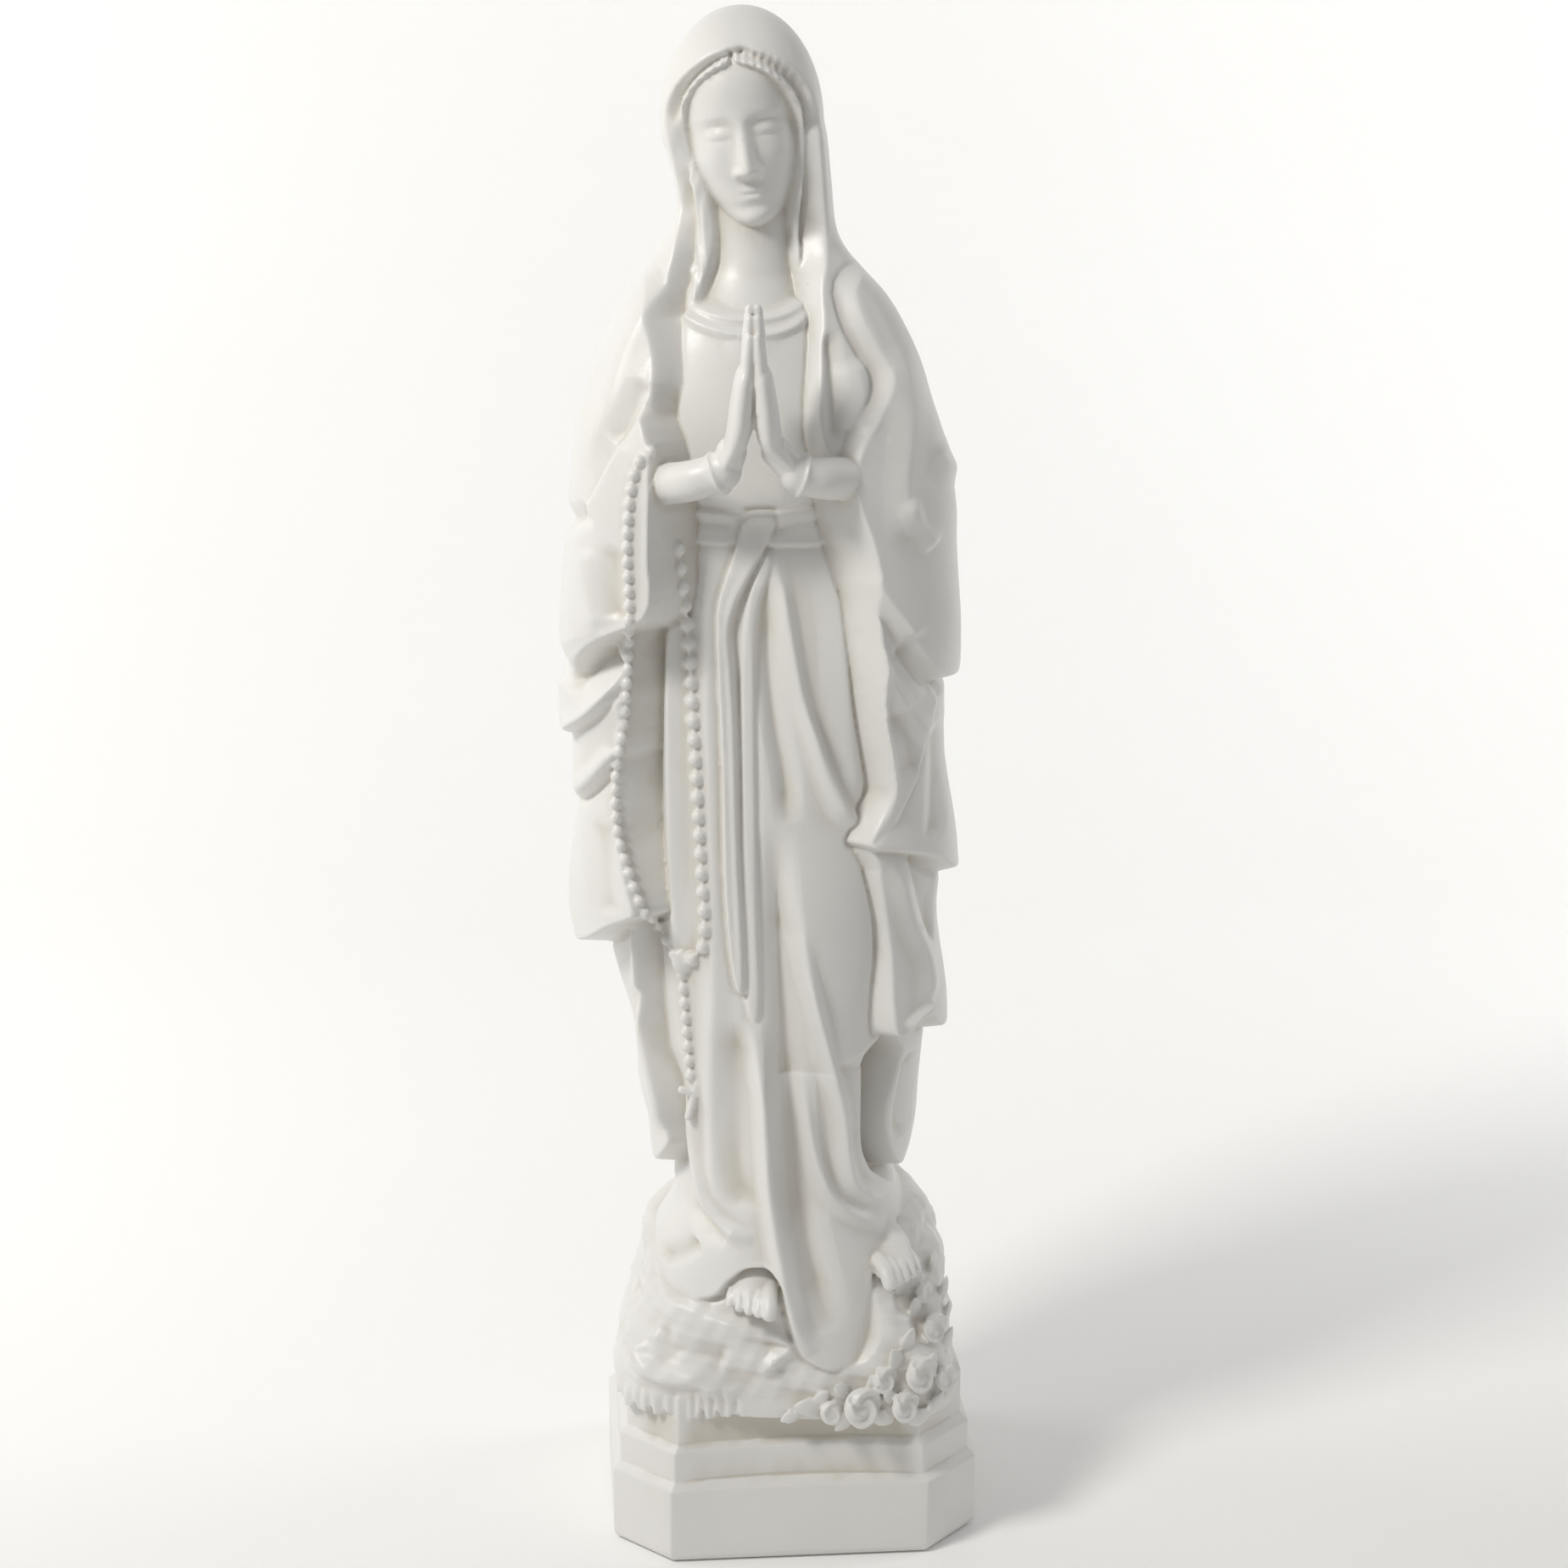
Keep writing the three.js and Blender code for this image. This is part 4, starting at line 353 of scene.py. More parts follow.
# The cloth's pieces, each over the ones before it. A lift stands a piece off its form, a flare spreads it
# between two heights by so much at its foot, and an edge says how softly its rim runs out.
FAR = 220  # past the middle of the back
CLOTH = [
    # gown
    {"form": GOWN, "outline": [
        (-FAR, 520), (-FAR, 150), (-60, 148), (-53, 139), (-50, 128), (-45, 116), (-42, 108), (-36, 105),
        (-28, 106), (-20, 109), (-16, 115), (-9, 121), (0, 122), (5, 117), (7, 106), (10, 94), (14, 86),
        (22, 81), (30, 80), (37, 84), (41, 92), (42, 105), (42, 118), (47, 126), (53, 131), (60, 138),
        (68, 150), (FAR, 152), (FAR, 520),
    ]},
    # sash
    {"form": GOWN, "lift": 1.4, "outline": [
        (-48, 420), (-20, 418), (0, 417), (20, 419), (46, 423), (46, 408), (20, 405), (0, 405), (-48, 406),
    ]},
    # sash end, right
    {"form": GOWN, "lift": 1.2, "outline": [
        (0, 404), (-6, 392), (-9, 375), (-10, 350), (-10, 300), (-9.5, 260), (-8, 225), (-3.5, 222),
        (-3, 235), (-3.5, 260), (-4.5, 300), (-5, 350), (-4, 380), (2, 400),
    ]},
    # sash end, left
    {"form": GOWN, "lift": 3.2, "outline": [
        (-9, 417), (-12.5, 404), (-16.5, 393), (-19.5, 383), (-19.5, 370), (-18.5, 350), (-17.5, 320),
        (-17, 280), (-15, 250), (-13, 236), (-9, 233), (-9, 250), (-11, 290), (-12, 340), (-13.5, 362),
        (-14.5, 374), (-12, 384), (-5.5, 396), (-1, 404), (3.5, 414), (2.5, 417.5),
    ]},
    # hollow beside the waist, left
    {"form": GOWN, "lift": -13, "edge": 2.5, "outline": [
        (-50, 426), (-40, 426), (-36, 421), (-34.5, 412), (-35, 403), (-39, 397), (-50, 396),
    ]},
    # hollow beside the waist, right
    {"form": GOWN, "lift": -8, "edge": 3, "outline": [
        (30, 426), (46, 426), (46, 380), (39, 376), (37.5, 392), (35, 405), (31.5, 416),
    ]},
    # hollow under the knee
    {"form": GOWN, "lift": -10, "outline": [
        (31, 208), (31, 185), (31, 166), (35, 152), (42, 144), (50, 141), (64, 146), (64, 214), (46, 214),
    ]},
    # cloth over the knee
    {"form": GOWN, "flare": (302, 262, 3), "edge": 3.6, "outline": [
        (9, 299), (8, 288), (9, 272), (12, 256), (16, 240), (20, 225), (24, 213), (29, 204), (36, 205),
        (43, 209), (52, 214), (54, 235), (52, 258), (47, 275), (41, 290), (34, 298), (22, 301),
    ]},
    # hair, left
    {"form": HAIR, "outline": [
        (-14, 586), (-30, 586), (-50, 570), (-50, 484), (-41, 480), (-34, 484), (-27, 493), (-20, 510),
        (-19.5, 522), (-22, 535), (-27, 545), (-30, 556), (-29, 565), (-24.5, 571.5), (-18.5, 576),
        (-13, 578.5),
    ]},
    # hair, right
    {"form": HAIR, "outline": [
        (-14, 586), (10, 586), (30, 570), (30, 484), (22, 484), (16, 492), (11.5, 505), (9, 520),
        (10.5, 535), (11.5, 545), (12, 556), (10.5, 563), (6.5, 569.5), (0.5, 574.5), (-6, 577.5),
        (-13, 578.5),
    ]},
    # mantle, left of the opening
    {"form": MANTLE, "outline": [
        (-FAR, 620), (6, 620), (6, 592), (-9, 584.5), (-20, 581.5), (-28, 576), (-33, 571), (-37, 563),
        (-36, 553), (-33, 540), (-32, 525), (-34, 510), (-37, 500), (-40.5, 490), (-41.5, 480), (-41, 465),
        (-42, 445), (-42, 420), (-43, 400), (-43, 388), (-48, 378), (-53, 370), (-53, 350), (-55, 330),
        (-54, 305), (-52, 280), (-50, 266), (-50, 250), (-49, 235), (-47, 215), (-45, 200), (-41, 185),
        (-39, 172), (-38, 165), (-42, 157), (-46, 148), (-54, 142), (-FAR, 128),
    ]},
    # mantle, right of the opening
    {"form": MANTLE, "outline": [
        (FAR, 620), (-24, 620), (-24, 592), (-9, 584.5), (2, 582), (10, 577), (15, 571), (18, 562),
        (19, 550), (20, 535), (21, 520), (21, 508), (19, 499), (20, 488), (19, 475), (18, 460), (19, 446),
        (26, 434), (32, 422), (37, 409), (39.5, 398), (40, 385), (41, 365), (42, 350), (44, 335), (47, 320),
        (48, 311), (45, 302), (40, 296), (38, 291), (42, 283), (44, 272), (46, 258), (47, 245), (47.5, 228),
        (49, 214), (53, 204), (50, 190), (47, 178), (47, 168), (49, 160), (52, 152), (57, 146), (66, 141),
        (FAR, 130),
    ]},
    # left fold to the knee
    {"form": MANTLE, "lift": 1, "flare": (315, 250, 13), "outline": [
        (-55, 335), (-57, 300), (-56, 290), (-54, 280), (-51, 271), (-49.5, 265), (-55, 262), (-62, 258),
        (-68, 252), (-73, 247), (-77, 241), (-80, 236), (-FAR, 230), (-FAR, 335),
    ]},
    # left fold to the thigh
    {"form": MANTLE, "lift": 1, "flare": (380, 305, 3), "outline": [
        (-53, 385), (-53, 350), (-55, 335), (-56, 326), (-60, 321), (-66, 313), (-73, 304), (-82, 296),
        (-FAR, 286), (-FAR, 385),
    ]},
    # inside of the left sleeve
    {"form": MANTLE, "flare": (372, 346, 7), "outline": [
        (-53, 378), (-62, 373), (-70, 368), (-78, 361), (-FAR, 352), (-FAR, 326), (-79, 328.5), (-75, 333),
        (-66, 341), (-58, 352), (-53.5, 364),
    ]},
    # left sleeve
    {"form": MANTLE, "lift": 7, "flare": (425, 355, 5), "outline": [
        (-42, 448), (-42.5, 420), (-43, 402), (-42, 392), (-42.5, 386), (-45, 380.5), (-50, 377.5),
        (-55, 375), (-62, 372), (-69, 367), (-75, 360), (-79, 350), (-82, 340), (-FAR, 334), (-FAR, 470),
        (-60, 470),
    ]},
    # left shoulder fold
    {"form": MANTLE, "lift": 3, "edge": 2, "outline": [
        (-41, 480), (-40, 466), (-44, 458), (-50, 448), (-56, 438), (-61, 429), (-65, 421), (-68, 415),
        (-74, 409), (-84, 400), (-FAR, 388), (-FAR, 520), (-60, 525), (-44, 505),
    ]},
    # right fold to the shin
    {"form": MANTLE, "flare": (262, 208, 9), "outline": [
        (42, 283), (44, 272), (46, 258), (47, 245), (47.5, 228), (49, 215), (54, 213), (58, 217), (63, 219),
        (67, 212), (72, 207), (90, 202), (FAR, 196), (FAR, 285),
    ]},
    # hollow of the right fold
    {"form": MANTLE, "lift": -7, "edge": 2, "outline": [
        (49, 287), (53, 270), (57, 256), (60, 246), (62, 250), (63, 262), (66, 272), (64, 284),
    ]},
    # right fold to the knee
    {"form": MANTLE, "lift": 1, "flare": (320, 270, 7), "outline": [
        (38, 291.5), (45, 290), (52, 288.5), (60, 286), (67, 282), (72, 276), (77, 269), (95, 262),
        (FAR, 254), (FAR, 360), (60, 360), (50, 320),
    ]},
    # right fold to the thigh
    {"form": MANTLE, "lift": 4, "outline": [
        (39.5, 398), (40, 385), (41, 365), (42, 350), (44, 335), (47, 320), (48, 311), (45, 302), (40, 296),
        (37.5, 291.5), (43, 294), (50, 302), (56, 312), (60, 321), (62.5, 330), (66, 345), (69, 365),
        (60, 380),
    ]},
    # right sleeve and shoulder fold
    {"form": MANTLE, "lift": 5, "flare": (410, 352, 6), "edge": 2, "outline": [
        (30, 502), (34, 487), (40, 477), (44.5, 468), (44, 462), (40, 454), (35, 446), (31.5, 437),
        (31, 427), (34, 417), (37, 409), (39.5, 400), (41, 391), (46, 384), (52, 376), (58, 367), (64, 359),
        (69, 353), (78, 350), (FAR, 343), (FAR, 520), (60, 525),
    ]},
]
# Folds: the line, the half width, and the rise, which is negative for a groove.
GOWN_FOLDS = [
    ([
        (-39, 499), (-34, 493), (-26, 487), (-15, 483.5), (-5, 482.5), (4, 483.5), (12, 487.5), (19, 496),
    ], 2.4, 2.2),
    ([
        (-35, 500), (-29, 494.5), (-21, 490), (-12, 488), (-2, 488), (7, 490), (14, 494.5), (19, 500),
    ], 2, 1.8),
    ([(-44, 413), (-25, 413.5), (-12, 412)], 2, -0.9),
    ([(0, 410), (12, 413), (25, 414.5), (44, 417)], 2, -1),
    ([(-45, 400), (-45.5, 350), (-46, 300), (-45, 262)], 7, -5),
    ([(35, 402), (36.5, 375), (38, 345), (42, 325), (43, 312)], 6, -5),
    ([(-34, 392), (-36, 350), (-36, 300), (-34.5, 262), (-34, 240)], 4, 3),
    ([(-22, 400), (-22, 350), (-21, 300), (-20, 250), (-21, 200), (-21, 160), (-17, 142)], 5, 2),
    ([(1, 404), (5, 390), (8, 372), (12, 350), (17, 330), (22, 315), (28, 303), (36, 294)], 3.6, 3.2),
    ([(12, 348), (20, 326), (27, 309), (34, 299), (40, 291)], 3, 2.4),
    ([(22, 402), (27, 380), (29, 350), (31, 325), (36, 305)], 7, 2.6),
    ([(0, 392), (0, 365), (3, 340), (7, 318), (8, 300)], 4.5, -3.4),
    ([(2, 300), (4, 270), (6, 240), (8, 210), (10, 180), (13, 150), (17, 130), (22, 110), (25, 96)], 7, -5),
    ([
        (-6, 224), (-3, 205), (-1, 190), (0, 172), (1, 155), (3, 140), (5, 128), (8, 112), (12, 98),
        (18, 88),
    ], 5, 6),
    ([
        (11, 258), (15, 240), (19, 222), (24, 202), (28, 184), (30, 166), (33, 153), (41, 145), (52, 141),
    ], 4, 5.5),
    ([(13, 205), (16, 178), (20, 160), (27, 147), (36, 139), (47, 133)], 3.6, 3.2),
    ([(-30, 198), (-30, 172), (-28, 155), (-24, 144), (-15, 136), (-5, 133)], 3.6, 3.6),
    ([(-37, 205), (-35, 170), (-32, 148), (-27, 137), (-16, 131)], 5, -4),
    ([(-12, 222), (-12, 195), (-12, 165), (-9, 145)], 8, -3),
    ([(-27, 128), (-35, 121), (-43, 116)], 3, -3.2),
    ([(-46, 232), (-43, 205), (-40, 188)], 3, 2),
]
HAIR_WAVES = [
    ([
        (-13, 582), (-22, 578), (-29, 572), (-33.5, 563), (-34, 552), (-31, 540), (-29, 525), (-30, 508),
    ], 2.2, -1.8),
    ([
        (-13, 580), (-20, 577.2), (-26.5, 572), (-31, 564), (-31.5, 553), (-28, 541), (-25, 528),
        (-25.5, 512), (-29, 500),
    ], 2, 1.6),
    ([(-28, 540), (-23.5, 530), (-22.5, 518), (-24, 504)], 1.8, 1.4),
    ([
        (-14, 584), (-25, 579.5), (-33, 572), (-37, 562), (-36, 550), (-33, 536), (-32.5, 520), (-34, 505),
    ], 2, 1.4),
    ([
        (-12, 582), (-2, 579.5), (6, 575), (12.5, 567), (15, 555), (15, 540), (13, 525), (12.5, 512),
    ], 2.2, -1.8),
    ([
        (-12, 580), (-3, 578), (4, 573.5), (10, 566.5), (13, 556), (13, 543), (11.5, 530), (11, 516),
    ], 2, 1.6),
    ([(-12, 584), (0, 582), (9, 577), (15.5, 569), (18, 556), (18.5, 540), (17.5, 525), (17, 512)], 2, 1.4),
    ([(12, 512), (16.5, 512.5), (18.5, 508), (17, 503), (13, 502.5)], 2.4, 2.4),
    ([(-27, 503), (-31, 505), (-34.5, 502), (-34, 497), (-30, 495.5)], 2.4, 2.4),
]
MANTLE_FOLDS = [
    ([(-38, 500), (-47, 485), (-52, 475), (-57, 460), (-60, 450), (-67, 434)], 6, 3),
    ([(-66, 418), (-72, 414), (-80, 410)], 4, -3),
    ([(-44, 466), (-49, 455), (-56, 444)], 5, -1.6),
    ([(28, 504), (31, 490), (37, 478), (44, 468)], 4, -2.6),
    ([(23, 484), (25, 465), (26, 444)], 3.4, -2.6),
    ([(31, 474), (34, 460), (33, 448)], 6, 2.4),
    ([(47, 478), (52, 455), (50, 430), (52, 410)], 6, 2.4),
    ([(50, 424), (56, 413), (62, 405)], 4, 2.2),
    ([(62, 440), (68, 432), (76, 428)], 5, 2.4),
    ([(-68, 405), (-66, 390), (-62, 376)], 6, 2),
    ([(-58, 408), (-57, 392), (-56, 380)], 5, -1.8),
    ([(-56, 366), (-66, 360), (-80, 350)], 9, -6),
    ([(-55, 350), (-65, 341), (-78, 329)], 6, 3),
    ([(-57, 328), (-66, 317), (-75, 306)], 4, 2.4),
    ([(-64, 300), (-63, 280), (-60, 264)], 6, -1.8),
    ([(-50, 262), (-50, 245), (-50, 228)], 3, 2.4),
    ([(-46, 228), (-48, 206), (-44, 186), (-41, 170)], 4, 3.4),
    ([(52, 372), (60, 360), (68, 345)], 8, -4),
    ([(42, 369), (45, 357), (51, 346), (57, 337), (62, 330)], 3.6, 2.8),
    ([(48, 345), (54, 332), (56, 318)], 6, -2),
    ([(42, 380), (42.5, 350), (45, 330), (48, 314)], 2.4, 1.8),
    ([(65, 335), (65, 310), (64, 290)], 4, -2.2),
    ([(48, 286), (52, 270), (56, 255), (61, 243), (63, 232), (62, 222)], 4, 3),
    ([(54, 217), (59, 221), (65, 222)], 2.4, 3),
    ([(57, 203), (54, 190), (52, 178), (53, 166)], 4, -2.4),
]
GROUND_FOLDS = [
    ([(-46, 116), (-45, 127), (-40, 135), (-33, 138)], 7, 3.5),
    ([(-54, 96), (-52, 86), (-46, 79), (-38, 76), (-28, 77), (-20, 74), (-10, 72)], 4, 3),
    ([(-30, 100), (-14, 99), (-2, 95), (9, 91), (3, 85), (-3, 79)], 3, 3),
    ([(-44, 90), (-30, 88), (-16, 84)], 7, -2.4),
    ([(-48, 122), (-52, 110), (-50, 100)], 5, 2.4),
    ([(46, 116), (54, 105), (60, 98), (64, 88)], 4, -3),
    ([(44, 104), (50, 94), (58, 86), (60, 76)], 5, 2.6),
    ([(66, 122), (69, 110), (72, 98)], 4, 2.4),
]
EDGE_WIDTH = 0.9
HEM_ROLL = 0.3  # the hems' rounded thickness
HEM_CUT = 1  # the mould-maker's cut under each hem
HEM_STEP = 3  # a hem that stands this proud has its full roll and cut
CREST_ROUND = 0.2  # of a fold's width
CREST_FALL = 1.7  # above 1 the fold's foot runs out hollow
FOLD_SPREAD = 1.3  # a fold's foot is this much wider than its listed width
AHEAD = (0.9, 1.5)  # the lift of the cloth fades out between these angles from the front
ROUND_THE_SIDE = (1.75, 2.5)  # flares and hems fade out between these
GOWN["folds"] = GOWN_FOLDS
HAIR["folds"] = HAIR_WAVES
MANTLE["folds"] = MANTLE_FOLDS


def fold_height(folds, x, z):
    """Ridges and grooves along lines. A fold runs out towards both of its ends."""
    height = np.zeros(x.shape)
    for points, base, rise in folds:
        width = FOLD_SPREAD * base
        line = curve_through(points)(np.linspace(0, 1, 4 * len(points) - 3))
        low, high = line.min(axis=0) - width, line.max(axis=0) + width
        near = np.flatnonzero((x > low[0]) & (x < high[0]) & (z > low[1]) & (z < high[1]))
        if not near.size:
            continue
        distance, along = nearest(line, x[near], z[near], width)
        crest = np.hypot(distance / width, CREST_ROUND) - CREST_ROUND
        ends = np.minimum(1, np.minimum(6 * along, 6 * (1 - along)))
        height[near] += rise * np.maximum(0, 1 - crest) ** CREST_FALL * ends
    return height


BACK_FOLDS = 9
BACK_DEPTH = 4.5  # at the hem
BACK_DEPTH_LOST = 3.9  # of it, up to the shoulders
STRAND_RELIEF = 0.3  # strands combed into the hair
STRAND_WIDTH = 2.8
DRIP_END = (-14, -6)  # the ribs under the rim die out across these
DRIP_SIDE = (1.5, 1.8)  # and round the side between these angles


def back_folds(angle, z):
    """Long folds that hang down the back of the mantle, deeper towards the hem."""
    depth = (BACK_DEPTH - BACK_DEPTH_LOST * ramp(z, 130, 520)) * ramp(np.abs(angle), 1.5, 2.2)
    sway = 0.35 * np.sin(z / 70)
    return depth * (np.abs(np.cos(BACK_FOLDS * angle / 2 + sway)) - 0.5)


def rock_lumps(angle, z):
    coarse = np.sin(5 * angle + 0.11 * z) * np.sin(0.16 * z + 3 * angle)
    fine = np.sin(12 * angle - 0.19 * z + 1) * np.sin(0.33 * z + 6 * angle)
    grain = np.sin(31 * angle + 0.5 * z) * np.sin(0.9 * z - 17 * angle)
    return 1.5 * coarse + 0.8 * fine + 0.35 * grain


def drips(x, z):
    """Short ribs down from the rim of the ground, of uneven length."""
    top = 72 + 2 * np.sin(0.61 * x) + 1.5 * np.sin(1.37 * x)
    foot = 61 + 2 * np.sin(0.93 * x + 1) + 1.5 * np.sin(2.1 * x)
    rib = 1.3 * (np.abs(np.sin(0.75 * x + 0.6 * np.sin(0.23 * x))) - 0.75)
    return rib * ramp(top - z, 0, 4) - 4 * ramp(foot - z, 0, 2.5)


def surface_radius(angle, z):
    """How far the carved surface stands from the body's line. Angle 0 is ahead."""
    order = np.argsort(z, kind="stable")
    angle, z = angle[order], z[order]
    ground = form_radius(GROUND, angle, z)
    radius = ground + rock_lumps(angle, z) * ramp(z, 60, 76)
    place = BODY_LINE(z) + ground * np.sin(angle)
    radius += drips(place, z) * (1 - ramp(place, *DRIP_END)) * (1 - ramp(np.abs(angle), *DRIP_SIDE))
    radius += fold_height(GROUND_FOLDS, across(ground, form_side(GROUND, angle, z), angle, z), z)
    ahead = 1 - ramp(np.abs(angle), *AHEAD)
    still = 1 - ramp(np.abs(angle), *ROUND_THE_SIDE)
    for piece in CLOTH:
        form, outline = piece["form"], rounded(piece["outline"])
        flare = piece.get("flare", (1, 0, 0))
        edge = piece.get("edge", EDGE_WIDTH)
        low, high = outline.min(axis=0) - 4, outline.max(axis=0) + 4
        near = np.flatnonzero((z > low[1]) & (z < high[1]))
        a, h = angle[near], z[near]
        spread = flare[2] * ramp(flare[0] - h, 0, flare[0] - flare[1])
        own = form_radius(form, a, h) + piece.get("lift", 0) * ahead[near] + spread * still[near]
        x = across(own, form_side(form, a, h) + spread, a, h)
        kept = (x > low[0]) & (x < high[0])
        near, own, x, a, h = near[kept], own[kept], x[kept], a[kept], h[kept]
        depth = depth_inside(outline, x, h)
        own += fold_height(form["folds"], x, h)
        if form is MANTLE:
            own += back_folds(a, h)
        if form is HAIR:
            own += STRAND_RELIEF * np.sin(2 * np.pi * x / STRAND_WIDTH + 1.4 * np.sin(h / 9))
        step = np.clip((own - radius[near]) / HEM_STEP, 0, 1) * still[near]
        own += HEM_ROLL * step * np.exp(-(((depth - 1.6) / 0.9) ** 2))
        cover = ramp(depth, -edge, edge)
        radius[near] -= HEM_CUT * step * np.exp(-((depth + 1.5 * edge) ** 2))
        radius[near] += (own - radius[near]) * cover
    unsorted = np.empty_like(radius)
    unsorted[order] = radius
    return unsorted


def values_of(items, name, width, kind=np.float32):
    """A value of each vertex or edge of a mesh, as rows so many numbers wide."""
    flat = np.empty(width * len(items), kind)
    items.foreach_get(name, flat)
    return flat.reshape(-1, width)


def moulded(columns, rows, place):
    """A closed shell: a grid rolled up round an axis, whose points lie at place(angle, t).

    The angle goes once round from the back, and t goes from 0 at the foot to 1 at the top.
    """
    grid = bmesh.new()
    bmesh.ops.create_grid(grid, x_segments=columns, y_segments=rows, size=1)
    mesh = bpy.data.meshes.new("shell")
    grid.to_mesh(mesh)
    spots = values_of(mesh.vertices, "co", 3).astype(float)
    t = np.clip((spots[:, 1] + 1) / 2, 0, 1)
    points = place(spots[:, 0] * np.pi, t)
    points[spots[:, 0] > 1 - 1e-6] = points[spots[:, 0] < 1e-6 - 1]
    for pole in (t < 1e-6, t > 1 - 1e-6):
        points[pole] = points[pole].mean(axis=0)
    mesh.vertices.foreach_set("co", np.ascontiguousarray(points, np.float32).ravel())
    grid.clear()
    grid.from_mesh(mesh)
    bmesh.ops.remove_doubles(grid, verts=grid.verts, dist=1e-4)
    bmesh.ops.recalc_face_normals(grid, faces=grid.faces)
    grid.to_mesh(mesh)
    grid.free()
    return mesh


DRAWN_TOP = 600
CROWN_BAND = 16
CROWN_SHARE = 0.05  # of the rows, which close up over the crown
FRONT_CROWDING = 0.35  # the columns stand closer together in front
BACK_RIM_FROM = (1.3, 1.9)  # the rim turns level between these angles
RIM = profile([
    (-70, 60), (-48, 58), (-38, 60), (-24, 58.5), (-12, 60), (8, 59.5), (30, 59), (48, 60), (56, 58),
    (76, 57),
])
BACK_RIM = 62


def body_place(even, t):
    angle = even - FRONT_CROWDING * np.sin(even)
    rim = RIM(9 + 64 * np.sin(angle))
    rim += (BACK_RIM - rim) * ramp(np.abs(angle), *BACK_RIM_FROM)
    straight = 1 - CROWN_SHARE
    closing = np.sin(np.pi / 2 * np.clip((t - straight) / CROWN_SHARE, 0, 1))
    z = rim + (DRAWN_TOP - CROWN_BAND - rim) * np.clip(t / straight, 0, 1) + CROWN_BAND * closing
    radius = surface_radius(angle, z)
    radius[(t < 1e-6) | (t > 1 - 1e-6)] = 0
    return np.stack([BODY_LINE(z) + radius * np.sin(angle), -radius * np.cos(angle), z], 1)


shells = [moulded(480, 820, body_place)]

# The head under the veil, bent a little forwards and to her right, with the plain neck. The face is a
# plain studio one, calm with lowered eyes, on even proportions, in plaster like the rest.
HEAD_PLACE = Vector((-9.6, -3, 557.6))
HEAD_LEAN = math.radians(9)
HEAD_BOW = math.radians(6)
HEAD_HALF = 36
HEAD_POWER = 2.2  # a little squarer than an ellipse
HEAD_CROWDING = 0.4  # the columns stand closer together in front
HEAD_SIDE = profile([
    (-36, 3), (-35, 7), (-32.5, 10.8), (-28, 14.2), (-20, 18), (-10, 20.3), (0, 21.2), (10, 21.4),
    (20, 20.2), (28, 16), (33, 10.5), (36, 2),
])
HEAD_FRONT = profile([
    (-36, 16), (-35, 20), (-32.5, 22.6), (-28, 23), (-20, 24), (-10, 25), (0, 25.4), (10, 26.2), (20, 24.4),
    (28, 19), (33, 12), (36, 2),
])
HEAD_BACK = profile([
    (-36, 2), (-30, 6), (-20, 15), (-10, 23), (0, 28), (10, 30), (20, 27.5), (28, 21), (33, 13), (36, 2),
])
NOSE = profile([
    (-18, 0), (-16.8, 2), (-15.6, 4.8), (-13.8, 5.7), (-10, 4.7), (-4, 3), (1, 1.7), (5, 0.8), (9, 0),
])
NOSE_WIDTH = profile([(-18, 3.4), (-13, 3.4), (-5, 2.9), (2, 3.1), (9, 5)])


def bump(a, b=0):
    return np.exp(-a * a - b * b)


def face_relief(u, w):
    """Features of the face by u across it and w up from the eyes."""
    side = np.abs(u)
    height = -1.7 * bump((side - 8.4) / 6.4, (w - 1) / 4.8)  # sockets
    height += 1.9 * bump((side - 9) / 4.6, (w + 0.4) / 3.1)  # lids over the eyes
    height -= 0.75 * bump((side - 9) / 4.7, (w + 2.4 - 0.03 * (side - 9) ** 2) / 0.75)  # lowered lashes
    height -= 0.35 * bump((side - 9) / 4.8, (w - 2.8 + 0.035 * (side - 9) ** 2) / 0.8)  # lid's crease
    height += 0.7 * bump((side - 9.5) / 7, (w - 6 + 0.02 * (side - 9) ** 2) / 1.9)  # brows
    height += NOSE(w) * bump(u / NOSE_WIDTH(w))
    height += 1.5 * bump((side - 3.5) / 1.7, (w + 14.6) / 1.8)  # wings of the nose
    height -= 0.7 * bump((side - 1.8) / 0.9, (w + 17) / 0.8)  # nostrils
    height -= 0.35 * bump(u / 1.2, (w + 19) / 1.6)
    height += 0.9 * bump(u / 5.6, (w + 21.4 + 0.05 * side) / 1.3)  # lips
    height += 0.95 * bump(u / 4.8, (w + 24.4) / 1.6)
    height -= 0.65 * bump(u / 6.6, (w + 22.8 - 0.035 * u * u) / 0.65)
    height -= 0.55 * bump(u / 5.5, (w + 27.6) / 1.8)
    height += 1.1 * bump(u / 6.5, (w + 31.5) / 3.8)  # chin
    height += 1.2 * bump((side - 12) / 6, (w + 9) / 6.5)  # cheeks
    return height


def head_place(even, t):
    angle = even - HEAD_CROWDING * np.sin(even)
    w = -HEAD_HALF * np.cos(np.pi * t)
    side = np.abs(np.sin(angle)) / HEAD_SIDE(w)
    ahead = np.abs(np.cos(angle)) / np.where(np.cos(angle) > 0, HEAD_FRONT(w), HEAD_BACK(w))
    radius = (side**HEAD_POWER + ahead**HEAD_POWER) ** (-1 / HEAD_POWER)
    radius += np.where(np.cos(angle) > 0, face_relief(radius * np.sin(angle), w), 0)
    radius[(t < 1e-6) | (t > 1 - 1e-6)] = 0
    points = np.stack([radius * np.sin(angle), -radius * np.cos(angle), w], 1)
    turn = Matrix.Rotation(-HEAD_LEAN, 3, "Y") @ Matrix.Rotation(HEAD_BOW, 3, "X")
    return points @ np.array(turn).T + np.array(HEAD_PLACE)


